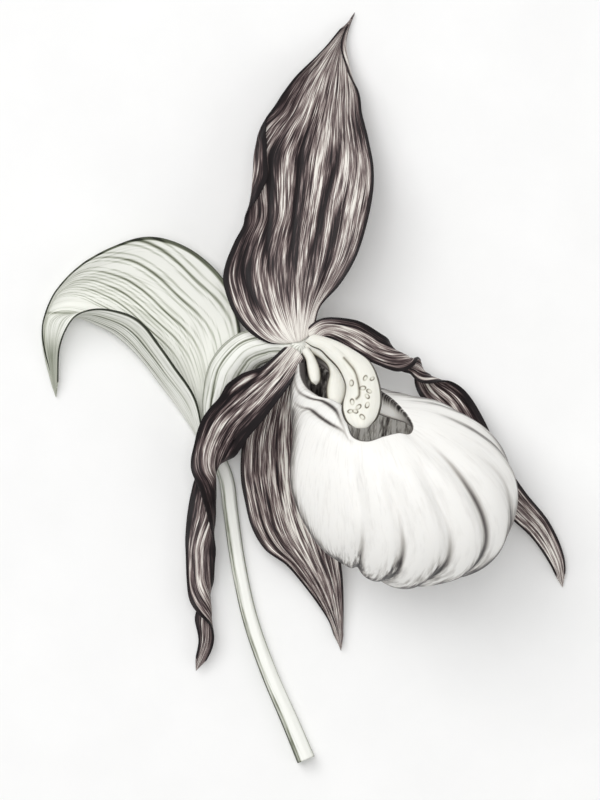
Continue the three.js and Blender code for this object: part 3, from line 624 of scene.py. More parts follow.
def synsepal_tone(t, s, side, points):
    tone = 0.72 - synsepal_furrows(t, s) + 0.2 * stripe(s, -0.05, 0.3) * within(0.2, 0.75, t)
    tone -= 0.12 * smoothstep(t, 0.7, 0.95)
    return tone - 0.8 * margin_line(s, 0.91)


synsepal = blade_mesh("synsepal_fine", relief(synsepal_on_rails, synsepal_height), 220, 90, 0.6,
                      0.26, (16, 52), synsepal_tone, all_over(1.0), point_tip(0.05))


# ---- petals ----

left_petal_flat = ribbon(
    centre=[
        (-0.5, -0.8, 15.2), (-3.8, -5, 14.6), (-8, -9.1, 13), (-11.5, -12.6, 11), (-13.6, -16.6, 8.8),
        (-14.9, -20.4, 7), (-15.1, -24.4, 5.8), (-15.2, -28, 5.2), (-15.9, -32.8, 4.4),
        (-15.9, -37.6, 3.8), (-15.5, -42.2, 3.2), (-15, -47.2, 2.5), (-16.7, -52.3, 1.6),
    ],
    half_width=smooth_table([
        (0, 1.7), (0.1, 2.6), (0.2, 3.5), (0.3, 3.8), (0.35, 3.55), (0.4, 3.1), (0.44, 2.7),
        (0.47, 2.7), (0.52, 2.85), (0.575, 2.9), (0.63, 2.6), (0.68, 2.3), (0.75, 2.1), (0.81, 1.9),
        (0.86, 1.5), (0.91, 1.2), (0.96, 0.85), (1, 0.35),
    ]),
    twist=smooth_table([
        (0, 0), (0.33, 0), (0.39, 20), (0.43, 50), (0.465, 90), (0.52, 112), (0.575, 130), (0.63, 155),
        (0.68, 174), (0.75, 190), (0.79, 225), (0.83, 275), (0.865, 320), (0.91, 350), (1, 365),
    ]),
    cup=smooth_table([
        (0, 0.25), (0.34, 0.2), (0.39, -0.3), (0.43, -0.8), (0.465, -1), (0.52, -1), (0.575, -0.9),
        (0.63, -0.5), (0.68, 0), (0.75, 0.4), (0.8, 1), (0.84, 1.1), (0.88, 0.7), (0.93, 0.3), (1, 0.2),
    ]),
)


def margin_lobe(t, s):
    """The small wave that the left petal's upper margin makes beside the ovary."""
    return within(0.09, 0.26, t) * smoothstep(s, 0.55, 1.0)


def left_petal_surface(t, s):
    return left_petal_flat(t, s + 0.3 * margin_lobe(t, s))


PETAL_FURROWS = [-0.55, -0.15, 0.3, 0.66]


def petal_furrows(t, s):
    return furrows(t, s, PETAL_FURROWS, 0.3, 0.11, 0.06 * np.sin(9 * t + 1), (0.03, 0.98))


def petal_height(t, s):
    return -0.35 * petal_furrows(t, s) + 0.12 * np.abs(s) ** 3 * np.sin(26 * t + 2 * s)


def left_petal_tone(t, s, side, points):
    lobe = margin_lobe(t, s)
    tone = 0.54 - petal_furrows(t, s)
    # painted light: a pale band on the lit side where the petal turns
    tone += 0.35 * stripe(s, 0.4, 0.22) * within(0.24, 0.5, t)
    tone += 0.25 * within(-0.1, 0.25, t) * stripe(s, 0.1, 0.45)
    tone += 0.3 * stripe(t, 0.68, 0.1) * stripe(s, -0.2, 0.5)
    # painted shade on the margin that turns away, near the base
    tone -= 0.5 * smoothstep(-s, 0.45, 0.85) * within(0.05, 0.5, t)
    tone -= 0.3 * smoothstep(s, 0.55, 0.8) * within(0.1, 0.42, t)
    tone -= 0.3 * (side > 0) * within(0.43, 0.66, t)
    tone -= 0.45 * smoothstep(s, 0.5, 0.85) * within(0.55, 0.85, t)
    # painted highlight on the margin's small wave, with a dark line round it
    tone += 0.3 * smoothstep(lobe, 0.3, 0.6) - 0.5 * stripe(lobe, 0.2, 0.1)
    tone -= 0.8 * margin_line(s, 0.82)
    return paled_to_heart(tone, points, s, 1.5, 7.5, 0.8)


petal_streak = fewer_at_heart(0.4, 6.0)
petal_left = blade_mesh("petal_left_fine", relief(left_petal_surface, petal_height), 320, 46,
                        0.58, 0.24, (7, 58), left_petal_tone, petal_streak, point_tip(0.04))

right_petal_surface = ribbon(
    centre=[
        (1.6, 1.2, 15.2), (4, 2.7, 14.8), (8, 1.9, 13.6), (12.5, -0.7, 12), (16.8, -2.7, 9.4),
        (18.5, -3.4, 7.8), (19.6, -5, 6.4), (21.4, -6.8, 5.2), (24.3, -9.2, 4.3), (26.8, -13, 3.7),
        (30.2, -19.2, 3.1), (34.3, -25, 2.8), (38.6, -29.6, 2.4), (41.2, -34.5, 1.7),
        (42.2, -38.9, 0.48),
    ],
    half_width=smooth_table([
        (0, 1.3), (0.06, 1.6), (0.12, 2.3), (0.19, 2.3), (0.25, 2.1), (0.31, 1.4), (0.35, 1.7),
        (0.4, 2.4), (0.46, 2.8), (0.6, 2.6), (0.75, 2.2), (0.84, 1.8), (0.92, 1.3), (0.97, 0.7),
        (1, 0.35),
    ]),
    twist=smooth_table([
        (0, 0), (0.18, 5), (0.235, 35), (0.275, 90), (0.308, 180), (0.348, 270), (0.39, 335),
        (0.44, 355), (0.6, 360), (1, 360),
    ]),
    cup=smooth_table([
        (0, 0.22), (0.19, 0.2), (0.23, -0.3), (0.26, -0.9), (0.285, -0.9), (0.31, 0), (0.345, 0.7),
        (0.385, 0.7), (0.44, 0.3), (1, 0.22),
    ]),
)


def right_petal_tone(t, s, side, points):
    tone = 0.54 - petal_furrows(t, s)
    tone += 0.35 * within(0.02, 0.2, t) * stripe(s, 0.2, 0.45)
    tone -= 0.50 * within(0.02, 0.3, t) * smoothstep(-s, 0.35, 0.75)
    tone += 0.20 * within(0.28, 0.4, t)
    tone += 0.15 * within(0.36, 0.55, t) * stripe(s, 0.3, 0.4)
    tone -= 0.40 * within(0.36, 0.66, t) * smoothstep(-s, 0.45, 0.85)
    tone += 0.2 * smoothstep(t, 0.68, 0.8)
    tone -= 0.8 * margin_line(s, 0.82)
    return paled_to_heart(tone, points, s, 1.2, 6.5, 0.8)


petal_right = blade_mesh("petal_right_fine", relief(right_petal_surface, petal_height), 340, 40,
                         0.58, 0.24, (5, 62), right_petal_tone, petal_streak, point_tip(0.04))


# ---- bract ----

BRACT_VEINS = 5
bract_folded = blade_on_rails(
    left=[
        (-13.4, -17.4, 1.4), (-11.4, -9, 1.5), (-9.6, -1, 2.2), (-10.4, 6.4, 3), (-12.5, 10.7, 3.8),
        (-17.8, 15.4, 4.6), (-24, 17.3, 5), (-30.1, 15.7, 4.8), (-35.8, 12.3, 4.4), (-39.4, 8.3, 3.6),
        (-40.9, 5, 3), (-41.4, 2.2, 2.4), (-40.9, -1.3, 1.6), (-40.1, -4.2, 1.2), (-39.5, -8.3, 0.8),
    ],
    midrib=[
        (-14.6, -17.6, 0.9), (-16.2, -14.4, 0.8), (-20.4, -7.1, 0.6), (-24.4, -1, 0.6),
        (-29.8, 3.4, 0.7), (-33.1, 4.9, 0.9), (-35.8, 5.8, 1.2), (-38.6, 5.9, 1.6), (-40.4, 5, 1.8),
        (-40.9, 2.4, 1.6), (-40.3, -3.2, 1.1), (-39.2, -8.4, 0.7),
    ],
    right=[
        (-15.4, -17, 1.6), (-16.8, -8.7, 5.5), (-20.3, -3.2, 8), (-22.7, 0.2, 9), (-24.8, 3, 9.5),
        (-26.9, 4.6, 9.5), (-30.1, 5.6, 9), (-32.5, 5.8, 8.2), (-34.6, 5.4, 7.4), (-36.2, 4.5, 6.4),
        (-37.8, 2.1, 4.8), (-38.7, -0.8, 3.4), (-38.9, -4.8, 2), (-38.9, -8.3, 1.1),
    ],
)


# veins of the far half run towards its margin: how far in s they have moved at t
bract_drift = smooth_table([
    (0, 0), (0.25, 0.08), (0.4, 0), (0.5, 0.05), (0.58, 0.13), (0.67, 0.27), (0.71, 0.33), (0.85, 0.6),
    (1, 0.8),
])
FAR_VEINS = [-0.87, -0.70, -0.53, -0.40, -0.27, -0.12]
NEAR_VEINS = [0.2, 0.42, 0.62, 0.82]


def bract_veins(t, s, width):
    far = sum(stripe(s + bract_drift(t), vein, width) for vein in FAR_VEINS)
    near = sum(stripe(s, vein, width) for vein in NEAR_VEINS)
    return np.where(s < 0.02, far, near) * within(0.02, 1.0, t)


def bract_height(t, s):
    broad = 0.025 * np.cos(2 * math.pi * BRACT_VEINS * s) * np.sin(math.pi * t)
    return broad + 0.05 * bract_veins(t, s, 0.03)


def bract_tone(t, s, side, points):
    tone = 1.04 - 0.8 * bract_veins(t, s, 0.012) * (0.55 + 0.45 * within(0.2, 0.7, t))
    tone -= 0.4 * bract_veins(t, s + 0.05, 0.008) + 0.4 * bract_veins(t, s - 0.04, 0.008)
    # painted shade on the folded-over near half
    tone -= 0.14 * smoothstep(s, 0.02, 0.12)
    tone -= 0.4 * stripe(s, 0.0, 0.014) * within(0.05, 0.9, t)
    # painted shade: darker on the drooping tip, with a dark line along the bend at its crest
    tone -= 0.38 * smoothstep(t, 0.76, 0.86)
    tone -= 0.4 * stripe(points[..., 1], 5.2, 0.2) * within(-42.5, -34.5, points[..., 0])
    return tone - 0.9 * margin_line(s, 0.972)


bract = blade_mesh("bract_fine", relief(bract_folded, bract_height), 230, 210, 0.5, 0.24, (26, 60),
                   bract_tone, all_over(1.0), point_tip(0.05))


# ---- stem and ovary ----

def turned_away_shade(angle):
    """Painted shade: a dark line along both sides of a lying tube, where it turns away."""
    return stripe(np.cos(angle), -0.15, 0.3)


def stem_tone(t, angle, points):
    # painted shade: one side hatched darker with a dark line along it, and the sides darkened where the
    # stem turns away
    hatched = smoothstep(-np.sin(angle), 0.15, 0.8)
    left_line = stripe(np.sin(angle), -0.62, 0.1)
    cut_end = smoothstep(t, 0.995, 1.0)
    return 1.05 - 0.3 * hatched - 0.45 * left_line - 0.75 * turned_away_shade(angle) - 0.25 * cut_end


def stem_streak(t, angle, points):
    # the streaks are strongest on the side with the painted shade, as hatching
    return 0.25 + 0.9 * smoothstep(-np.sin(angle), 0.0, 0.7)


stem = tube_mesh(
    "stem_fine",
    centre=[
        (-13.95, -16.6, 1.35), (-11.9, -21.5, 1.3), (-11.2, -26.5, 1.3), (-10, -34.9, 1.3),
        (-8.1, -43.7, 1.35), (-5.1, -52.3, 1.4), (-1.6, -60.4, 1.45), (1, -66.6, 1.5),
    ],
    radius=smooth_table([(0, 1.25), (0.3, 1.2), (0.7, 1.3), (1, 1.5)]), sides=96, rows=200,
    tone=stem_tone, streak=stem_streak,
    shape=lambda angle, t: 0.985 + 0.025 * np.cos(7 * angle + 2 * np.sin(5 * t)),
)

OVARY_RIBS = 6


def ovary_tone(t, angle, points):
    valleys = 0.5 - 0.5 * np.cos(OVARY_RIBS * angle)
    between = 0.5 - 0.5 * np.cos(3 * OVARY_RIBS * angle + 3 * np.sin(4 * t))
    # painted shade: thin dark lines in the ribs' valleys, and dark lines along both sides where the
    # ovary turns away
    tone = 0.98 - 0.75 * valleys ** 30 - 0.45 * between ** 16 - 0.65 * turned_away_shade(angle)
    return lerp(tone, 1.0 - 0.5 * burst(points), near_heart(points, 2.5, 5.0))


ovary = tube_mesh(
    "ovary_fine",
    centre=[
        (0.3, 0.2, 13.7), (-0.4, -0.2, 12.2), (-4.6, 0.1, 9.9), (-8.4, -0.9, 7.8), (-11.2, -3.9, 6.2),
        (-12.5, -8.1, 4.8), (-13.4, -12.6, 3.1), (-13.9, -16.2, 1.75),
    ],
    radius=smooth_table([(0, 1.4), (0.1, 1.9), (0.22, 2.6), (0.42, 3.3), (0.6, 3.4), (0.75, 2.9),
                         (0.88, 2.0), (1, 1.35)]),
    sides=144, rows=170, tone=ovary_tone, streak=all_over(1.0),
    shape=lambda angle, t: 0.955 + 0.075 * np.abs(np.cos(OVARY_RIBS * angle / 2)) ** 0.8,
    end_round=0.02,
)


# ---- lip ----

POUCH_CENTRE = np.array([16.8, -22.9, 20.0])
POUCH_DEPTH = 14.0
POUCH_WALL = 0.9
# the pouch seen from above: bearing in degrees and reach from its centre
POUCH_OUTLINE = [
    (-16, 18.3), (5, 18), (22, 17), (47, 15.4), (68, 14.6), (90, 14.3), (115, 15.6), (141, 19.6),
    (158, 19), (175, 18.5), (199, 17.1), (216, 16.5), (235, 15.5), (250, 15.7), (272, 16.2),
    (290, 16.4), (305, 17.5), (325, 18.4),
]
POUCH_TOP = np.array([-7.5, 13.4, 4.8]) + POUCH_CENTRE
POUCH_HEEL = np.array([-8.5, -9.6, -8.2]) + POUCH_CENTRE
# grooves: longitude in degrees, depth in mm, and how far down (0 to 1) the groove begins
GROOVES = [
    (-58, 0.5, 0.1), (-37, 0.6, 0.1), (-17, 0.8, 0.1), (0, 0.8, 0.1), (14.5, 0.5, 0.15),
    (28.5, 1.2, 0.02), (43.8, 1.2, 0.3), (63.5, 1.2, 0.28), (84.5, 0.9, 0.34),
]
DEEPEST = max(depth for longitude, depth, start in GROOVES)
GROOVE_HALF_WIDTH = 4.5  # degrees
GROOVE_SWIRL = 8  # degrees that a groove turns between the rim and the lip's middle
# the rim: x, y and z, the radius of its bead, and how far its margin is folded inward
RIM = np.array([
    (0.4, -1.2, 13.4, 0.6, 0), (3.8, -2, 14.8, 0.5, 0.5), (7.2, -3.7, 16.6, 0.5, 1.4),
    (10.4, -5.6, 19, 0.5, 2.2), (13.1, -7.4, 21.8, 0.5, 2.8), (14.8, -8.6, 24, 0.5, 2.6),
    (16.2, -10, 26.2, 0.5, 1.8), (17.5, -11.6, 28, 0.5, 0.9), (18.2, -13.2, 29.4, 0.5, 0.2),
    (17.6, -14.3, 30.4, 0.5, 0), (15.8, -14.2, 31.4, 0.55, 0), (13.4, -14.8, 32, 0.6, 0),
    (10.6, -15.6, 32.2, 0.6, 0), (8.2, -14.8, 31.2, 0.6, 0), (7.3, -12.4, 29.6, 0.6, 0.2),
    (6.5, -10, 27.6, 0.6, 0.3), (4.6, -8.7, 25.2, 0.6, 0.4), (2, -8, 22.4, 0.6, 0.4),
    (0.2, -6.7, 19.2, 0.6, 0.3), (-0.4, -4.2, 16.2, 0.6, 0.2),
])
# the crease below the left rim: longitude in degrees and distance from the rim
CREASE = [(95, 0.4), (110, 1.6), (135, 3.2), (180, 3.4), (215, 3.2)]
CREASE_DEPTH = 0.6
CREASE_STRETCH = (88, 222)

HEEL_COLATITUDE = math.pi - 0.06

pouch_radius = smooth_table(POUCH_OUTLINE, 360)
pouch_axis = unit(POUCH_HEEL - POUCH_TOP)
pouch_pole = (POUCH_TOP + POUCH_HEEL) / 2
pouch_east = unit(np.array([1.0, 0, 0]) - pouch_axis * pouch_axis[0])
pouch_north = np.cross(pouch_axis, pouch_east)


def longitude_of(points):
    arm = points - pouch_pole
    return np.degrees(np.arctan2(arm @ pouch_north, arm @ pouch_east))


def colatitude_of(points):
    return math.pi - np.arccos(np.clip(unit(points - pouch_pole) @ pouch_axis, -1, 1))


def direction_at(longitude, colatitude):
    turn = np.radians(longitude)[..., None]
    away = np.asarray(colatitude)[..., None]
    round_axis = pouch_east * np.cos(turn) + pouch_north * np.sin(turn)
    return round_axis * np.sin(away) - pouch_axis * np.cos(away)


def body_reach(direction):
    """Distance from the pole to the inflated body's surface, by bisection."""
    inside = np.zeros(direction.shape[:-1])
    outside = np.full(direction.shape[:-1], 60.0)
    for _ in range(26):
        middle = (inside + outside) / 2
        arm = pouch_pole + direction * middle[..., None] - POUCH_CENTRE
        angle = np.degrees(np.arctan2(arm[..., 1], arm[..., 0]))
        flat = np.hypot(arm[..., 0], arm[..., 1]) / pouch_radius(angle)
        within_body = np.hypot(flat, arm[..., 2] / POUCH_DEPTH) < 1
        inside = np.where(within_body, middle, inside)
        outside = np.where(within_body, outside, middle)
    return inside


rim_longitudes = longitude_of(RIM[:, :3])
rim_order = np.argsort(rim_longitudes)
rim_tables = [smooth_table(np.stack([rim_longitudes, RIM[:, k]], 1)[rim_order], 360)
              for k in range(5)]
rim_x, rim_y, rim_z, bead_radius, infold = rim_tables
crease_distance = smooth_table(CREASE)


def apart(longitude, other):
    """Degrees from one longitude to another, the short way round."""
    return (longitude - other + 180) % 360 - 180


def groove_depth(longitude):
    return sum(depth * stripe(apart(longitude, centre), 0, GROOVE_HALF_WIDTH)
               for centre, depth, start in GROOVES)


def rim_point(longitude):
    return np.stack([rim_x(longitude), rim_y(longitude), rim_z(longitude)], -1)


def crease_share(points, at_rim, width):
    """1 in the middle of the crease below the left rim, 0 away from it."""
    turned = at_rim % 360
    from_rim = np.linalg.norm(points - rim_point(at_rim), axis=-1)
    return within(*CREASE_STRETCH, turned) * stripe(from_rim, crease_distance(turned), width)


def lip_surface(groove, v):
    """Outer surface of the lip: v is 0 at the rim and 1 at the heel."""
    longitude = groove + GROOVE_SWIRL * (1 - smoothstep(v, 0, 0.5))
    at_rim = groove + GROOVE_SWIRL
    rim = rim_point(at_rim)
    start = colatitude_of(rim)
    direction = direction_at(longitude, lerp(start, HEEL_COLATITUDE, v))
    lift = np.linalg.norm(rim - pouch_pole, axis=-1) - body_reach(direction_at(at_rim, start))
    neck = 1 - smoothstep(v, 0, 0.4)
    in_groove = groove_depth(groove) * smoothstep(v, 0.04, 0.3) * (1 - smoothstep(v, 0.9, 1))
    reach = body_reach(direction) + lift * neck - in_groove
    point = pouch_pole + direction * reach[..., None]
    return point - direction * (CREASE_DEPTH * crease_share(point, at_rim, 0.8))[..., None]


def lip_normal(groove, v):
    step = 0.01
    down = lip_surface(groove, np.minimum(v + step, 1)) - lip_surface(groove, np.maximum(v - step, 0))
    around = lip_surface(groove + 1, v) - lip_surface(groove - 1, v)
    return unit(np.cross(around, down))


def lip_bead(groove, steps):
    """The rounded rim, from its outer side over the top to the infolded margin's edge."""
    v = np.zeros_like(groove)
    rim, out = lip_surface(groove, v), lip_normal(groove, v)
    up = rim - lip_surface(groove, v + 0.03)
    up = unit(up - out * (up * out).sum(-1, keepdims=True))
    radius = bead_radius(groove + GROOVE_SWIRL)[..., None]
    fold = np.maximum(infold(groove + GROOVE_SWIRL), 0)[..., None]
    middle = rim - out * radius
    rows = []
    for k in range(1, steps + 1):
        turn = math.pi * k / steps
        inward = fold * smoothstep(k / steps, 0.3, 0.9)
        rows.append(middle + out * (radius * math.cos(turn) - inward) + up * radius * math.sin(turn))
    return np.stack(rows)


LIP_LONGITUDES = 480
LIP_ROWS = 150
BEAD_ROWS = 16
INNER_ROWS = 36
LIP_GIRTH, LIP_LENGTH = 11, 45  # radius and length that the lip's grain is laid out on


def build_lip():
    first_groove = GROOVES[0][0]
    groove_line = np.linspace(0, 360, LIP_LONGITUDES + 1)[:-1] + first_groove
    v_outer = np.linspace(0, 1, LIP_ROWS + 1) ** 1.4
    v_inner = np.linspace(0, 1, INNER_ROWS + 1)[1:] ** 1.4
    v, groove = np.meshgrid(v_outer, groove_line, indexing="ij")
    outer, normal = lip_surface(groove, v), lip_normal(groove, v)
    v_in, groove_in = np.meshgrid(v_inner, groove_line, indexing="ij")
    normal_in = lip_normal(groove_in, v_in)
    turned = groove_in + GROOVE_SWIRL
    fold_depth = 2 * bead_radius(turned) + np.maximum(infold(turned), 0)
    depth = lerp(fold_depth, POUCH_WALL, smoothstep(v_in, 0, 0.14))
    inner = lip_surface(groove_in, v_in) - normal_in * depth[..., None]
    rings = np.concatenate([outer[::-1], lip_bead(groove_line, BEAD_ROWS), inner])
    normals = np.concatenate([normal[::-1], np.repeat(normal[:1], BEAD_ROWS, 0), normal_in])
    grooves = np.repeat(groove_line[None, :], len(rings), 0)
    v_all = np.concatenate([v_outer[::-1], np.zeros(BEAD_ROWS), v_inner])
    v_all = np.repeat(v_all[:, None], LIP_LONGITUDES, 1)
    side = np.concatenate([np.ones(LIP_ROWS + 1), np.linspace(0.9, -0.9, BEAD_ROWS),
                           -np.ones(INNER_ROWS)])
    side = np.repeat(side[:, None], LIP_LONGITUDES, 1)
    turn = np.radians(grooves)
    outside, inside = side > 0.95, side < -0.95
    paint = {
        "grain": np.stack([LIP_GIRTH * np.cos(turn), v_all * LIP_LENGTH,
                           LIP_GIRTH * np.sin(turn)], -1),
        "tone": np.select([outside, inside],
                          [lip_outside(grooves, v_all, normals, rings), lip_inside(rings)],
                          lip_rim(grooves, side)),
        "streak": np.select([outside, inside], [lip_streak(grooves, v_all, normals), 0.9],
                            flap_band(grooves, side)),
        # inner: painted light, the glow of the pouch's inside and of the turned-in margin's inner part
        "inner": np.select([outside, inside], [0.0, lip_inside(rings)],
                           3 * turned_in(grooves) * smoothstep(-side, -0.3, 0.3)),
    }
    return ring_mesh("lip_fine", rings, paint)


def groove_lines(groove, v, offset, width):
    """The grooves as lines of a width in degrees, shifted to their left by an offset."""
    return sum(depth / DEEPEST * stripe(apart(groove, centre + offset), 0, width)
               * smoothstep(v, start, start + 0.3) for centre, depth, start in GROOVES)


def groove_shade(groove, v, width):
    return groove_lines(groove, v, 3.2, width) * smoothstep(v, 0.38, 0.7)


def painted_low_shade(normals):
    """Painted shade: 1 on the lip's lower rim as it lies in view, fading to 0 up its front."""
    return smoothstep(normals @ unit(np.array([0.05, -0.95, -0.25])), 0.4, 0.95)


def lip_outside(groove, v, normals, points):
    # painted shade: dark lines in the grooves, and shade to their left low on the lip
    tone = 1.0 - 0.7 * groove_lines(groove, v, 0.4, 1.2) - 0.34 * groove_shade(groove, v, 3.2)
    tone -= 0.2 * painted_low_shade(normals)
    # painted shade: a dark band where the lip's surface turns away from above, drawing its outline
    tone -= 0.65 * stripe(normals[..., 2], 0.12, 0.18)
    # painted shadow: a dark line under the bead of the left rim
    tone -= 0.9 * left_rim(groove) * stripe(v, 0.026, 0.008)
    # painted shade in the crease below the left rim
    return tone - 0.9 * crease_share(points, groove + GROOVE_SWIRL, 0.27)


def turned_in(groove):
    """1 where the margin is folded far into the mouth, 0 where it is a plain bead."""
    return np.clip(infold(groove + GROOVE_SWIRL) / 2.5, 0, 1)


def left_rim(groove):
    """1 along the rim's left stretch, beside the anthers."""
    return within(92, 240, (groove + GROOVE_SWIRL) % 360)


def flap_band(groove, side):
    """1 on the outer half of the turned-in margin, which is hatched with shade."""
    return turned_in(groove) * smoothstep(side, -0.1, 0.4)


def lip_rim(groove, side):
    """White bead with a line of painted shade on its inner side; on the turned-in right margin, painted
    shade darkens to its outer edge.
    """
    start = lerp(-0.9, 0.15, left_rim(groove))
    inner_shade_line = (1 - turned_in(groove)) * smoothstep(-side - start, 0.0, 0.3)
    flap_line = turned_in(groove) * stripe(side, -0.65, 0.15)
    return 1.0 - 0.85 * flap_band(groove, side) - 0.75 * inner_shade_line - 0.9 * flap_line


def lip_inside(points):
    """Ivory in the front of the mouth, with painted shade in the throat beside the anthers; it also
    sets the inside's painted glow.
    """
    throat = smoothstep(-points[..., 0], -9.0, -5.0) * smoothstep(points[..., 1], -12.0, -8.0)
    return 0.84 - 0.55 * throat


def lip_streak(groove, v, normals):
    """Streaks in the grooves' shade, low on the lip and where it turns out of view."""
    upward = normals[..., 2]
    edge = 0.25 * smoothstep(-upward, -0.45, 0.0) + 0.5 * stripe(upward, 0.1, 0.22)
    shade = 0.8 * groove_shade(groove, v, 3.6)
    return np.clip(0.08 + shade + 0.75 * painted_low_shade(normals) + edge, 0, 1)


lip = build_lip()


# ---- column, staminode and anthers ----

def wax_tone(t, angle, points):
    """Pale, with painted shade as the dark outline of a lying tube along both sides, where it turns
    away.
    """
    return 1.0 - 0.85 * stripe(np.cos(angle), -0.2, 0.35)


column = tube_mesh(
    "column_fine",
    centre=[
        (1.4, 0.2, 14.8), (3.4, -0.9, 16.6), (5.2, -2.6, 18.6), (6, -4.8, 20.4), (5.8, -7.2, 21.8),
        (5.7, -9.2, 22.8), (5.9, -10.4, 23.4),
    ],
    radius=smooth_table([(0, 1.4), (0.3, 1.2), (0.5, 1.2), (0.7, 1.6), (0.85, 1.5), (1, 0.6)]),
    flatten=smooth_table([(0, 1), (0.5, 0.9), (0.8, 0.6), (1, 0.6)]),
    sides=64, rows=90, tone=wax_tone, streak=all_over(0.5), end_round=0.05,
)

staminode_on_rails = blade_on_rails(
    left=[
        (0.9, 0.7, 16.2), (2, -0.1, 17.2), (3.3, -0.7, 18.4), (4.7, -2.1, 20.6), (6.2, -3.7, 23.2),
        (7.1, -5.4, 25.4), (7.5, -6.9, 27), (7.3, -8.2, 28.4), (6.9, -9.5, 29.6), (6.9, -10.8, 30.8),
        (7.7, -12.4, 31.8), (9.3, -13.1, 32.2),
    ],
    midrib=[
        (1.6, 1.1, 16.8), (4.8, 0, 19.6), (7.2, -1.8, 22.8), (8.9, -4, 25.8), (9.7, -6.2, 28.2),
        (9.9, -8.4, 30.2), (9.8, -10.6, 32), (9.8, -12.4, 32.9), (9.8, -13.3, 32.8),
    ],
    right=[
        (2.4, 1.3, 16.4), (4.8, 0.6, 18), (7.2, -0.4, 20), (9.7, -1.8, 22.4), (10.9, -2.7, 23.6),
        (11.8, -4.1, 25.2), (12.5, -6.2, 27.2), (12.8, -8.6, 29.2), (12.6, -10.4, 30.6),
        (11.9, -11.9, 31.6), (10.3, -13.1, 32.2),
    ],
)
# spots on the staminode: x and y from the heart, and radius, in millimetres
SPOTS = [
    (8.2, -6.1, 0.45), (10.4, -5.3, 0.4), (11.5, -5.4, 0.35), (10, -6.9, 0.45), (11, -7.4, 0.4),
    (10.7, -8.2, 0.4), (8.3, -9.1, 0.45), (10.7, -9.6, 0.45), (9.3, -9.9, 0.45), (8, -10.6, 0.4),
    (8.8, -10.6, 0.4), (9.9, -11.5, 0.45),
]
staminode_groove = curve_through([
    (7, -2.1, 0), (7.8, -3, 0), (8.7, -4.2, 0), (9.3, -6.2, 0), (9.4, -8.1, 0), (9, -8.6, 0),
])


def staminode_height(t, s):
    return 0.45 * stripe(s, 0, 0.22) * within(0.1, 0.95, t)


def staminode_tone(t, s, side, points):
    tone = np.full_like(t, 0.97)
    flat = points[..., :2]
    line = staminode_groove(np.linspace(0, 1, 60))[:, :2]
    gap = np.min(np.linalg.norm(flat[..., None, :] - line, axis=-1), -1)
    # painted shade along the staminode's middle groove
    tone -= 0.6 * np.exp(-(gap / 0.2) ** 2)
    for number, (x, y, radius) in enumerate(SPOTS):
        across, up = flat[..., 0] - x, flat[..., 1] - y
        bearing = np.arctan2(up, across)
        away = np.hypot(across, up) * (1 + 0.2 * np.cos(2 * bearing + number))
        open_ring = 0.6 + 0.4 * np.cos(bearing - 2.4 * number)
        tone -= 0.75 * open_ring * stripe(away, 0.8 * radius, 0.09) + 0.06 * (away < radius)
    tone = np.where(side > 0, 0.9, tone)
    return tone - 0.85 * margin_line(s, 0.88)


staminode = blade_mesh("staminode_fine", relief(staminode_on_rails, staminode_height), 190, 130,
                       1.2, 0.5, (6, 18), staminode_tone, all_over(0.4), round_tip(0.03))

ANTHER_RADIUS = smooth_table([(0, 0.75), (0.3, 0.8), (0.7, 1.05), (0.92, 0.8), (1, 0.3)])


def anther(name, centre):
    return tube_mesh(name, centre, ANTHER_RADIUS, 40, 60, wax_tone, all_over(0.5), end_round=0.08)


anther_left = anther("anther_left_fine", [
    (0.8, -0.7, 16.4), (1.6, -2.0, 17.6), (2.1, -3.6, 18.8), (2.4, -5.2, 19.6), (2.6, -6.4, 20.0)])
anther_right = anther("anther_right_fine", [
    (3.0, -0.6, 15.8), (5.0, -1.6, 16.8), (7.0, -2.8, 18.0), (8.6, -4.2, 19.4), (9.4, -5.2, 20.2)])


# ---- handing the pieces over ----

PIECES = [
    (dorsal, "dorsal_sepal", "sepal_maroon", sepal_look),
    (synsepal, "synsepal", "sepal_maroon", sepal_look),
    (petal_left, "petal_left", "petal_maroon", petal_look),
    (petal_right, "petal_right", "petal_maroon", petal_look),
    (bract, "bract", "bract_green", bract_look), (stem, "stem", "stem_green", stem_look),
    (ovary, "ovary", "ovary_green", ovary_look), (lip, "lip", "lip_ivory", lip_look),
    (column, "column", "column_cream", cream_look),
    (staminode, "staminode", "staminode_cream", cream_look),
    (anther_left, "anther_left", "anther_cream", cream_look),
    (anther_right, "anther_right", "anther_cream", cream_look),
]
for piece, node, slot, look in PIECES:
    piece.data.materials.append(look)
    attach(piece, "root")
    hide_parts(node)


# ---- floor, light and camera ----

FLOOR_REACH = 4.0  # metres from the middle to each side


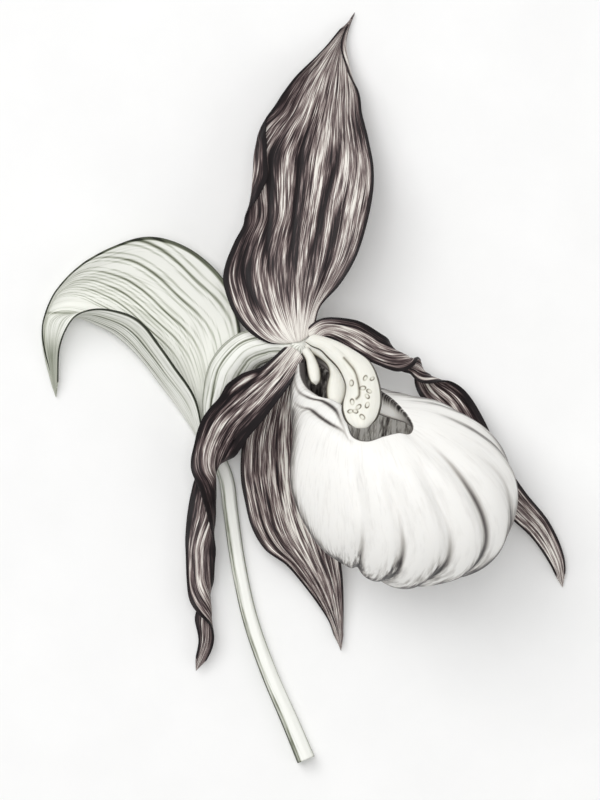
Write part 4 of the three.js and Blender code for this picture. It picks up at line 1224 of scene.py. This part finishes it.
def add_floor():
    mesh = bpy.data.meshes.new("floor")
    corners = [(x * FLOOR_REACH, y * FLOOR_REACH, 0) for x, y in [(-1, -1), (1, -1), (1, 1), (-1, 1)]]
    mesh.from_pydata(corners, [], [(0, 1, 2, 3)])
    shader = Shader("pale_floor")
    place = shader.node("ShaderNodeNewGeometry").outputs["Position"]
    paper = shader.noise(place, (60, 60, 60), detail=4.0)
    tint = shader.ramp(paper, [(0.3, (0.90, 0.90, 0.895)), (0.7, (0.93, 0.93, 0.925))])
    shader.set("Base Color", tint)
    shader.set("Roughness", 0.9)
    shader.set("Specular IOR Level", 0.1)
    mesh.materials.append(shader.material)
    add_object("floor", mesh)


LIT_POINT = (0.0, 0.0, 0.01)  # metres; every softbox faces it
SOFTBOX_SIZE = 0.9  # metres


def add_softbox(name, place, power):
    """A round soft light at a place in metres, unseen by the camera."""
    light = bpy.data.lights.new(name, "AREA")
    light.shape = "DISK"
    light.size = SOFTBOX_SIZE
    light.energy = power
    lamp = add_object(name, light)
    lamp.location = place
    direction = np.array(LIT_POINT) - np.array(place)
    turn = np.arctan2(direction[1], direction[0])
    tilt = math.acos(-direction[2] / np.linalg.norm(direction))
    lamp.rotation_euler = (tilt, 0, turn - math.pi / 2)
    lamp.visible_camera = False


def add_world(strength):
    world = bpy.data.worlds.new("studio")
    world.use_nodes = True
    background = world.node_tree.nodes["Background"]
    background.inputs["Color"].default_value = (1.0, 1.0, 1.0, 1)
    background.inputs["Strength"].default_value = strength
    bpy.context.scene.world = world


FRAME_HEIGHT = 128.0
FRAME_CENTRE = (-0.49, -2.05)  # from the world's origin
MEAN_LEVEL = 14.0  # height of the plane that the frame is measured in
LENS = 800.0
SENSOR = 36.0


def add_camera():
    data = bpy.data.cameras.new("camera")
    data.lens = LENS
    data.sensor_width = SENSOR
    data.clip_start = 0.1
    data.clip_end = 20.0
    camera = add_object("camera", data)
    distance = FRAME_HEIGHT * LENS / SENSOR
    camera.location = (FRAME_CENTRE[0] * MM, FRAME_CENTRE[1] * MM, (MEAN_LEVEL + distance) * MM)
    bpy.context.scene.camera = camera


add_floor()
add_world(0.42)
add_softbox("key", (-0.55, 0.6, 1.1), 6.6)
add_softbox("top", (-0.1, 0.1, 1.5), 8.4)
add_softbox("fill", (0.9, -0.3, 0.9), 1.4)
add_camera()
bpy.context.scene.view_settings.view_transform = "Standard"
bpy.context.scene.view_settings.look = "None"
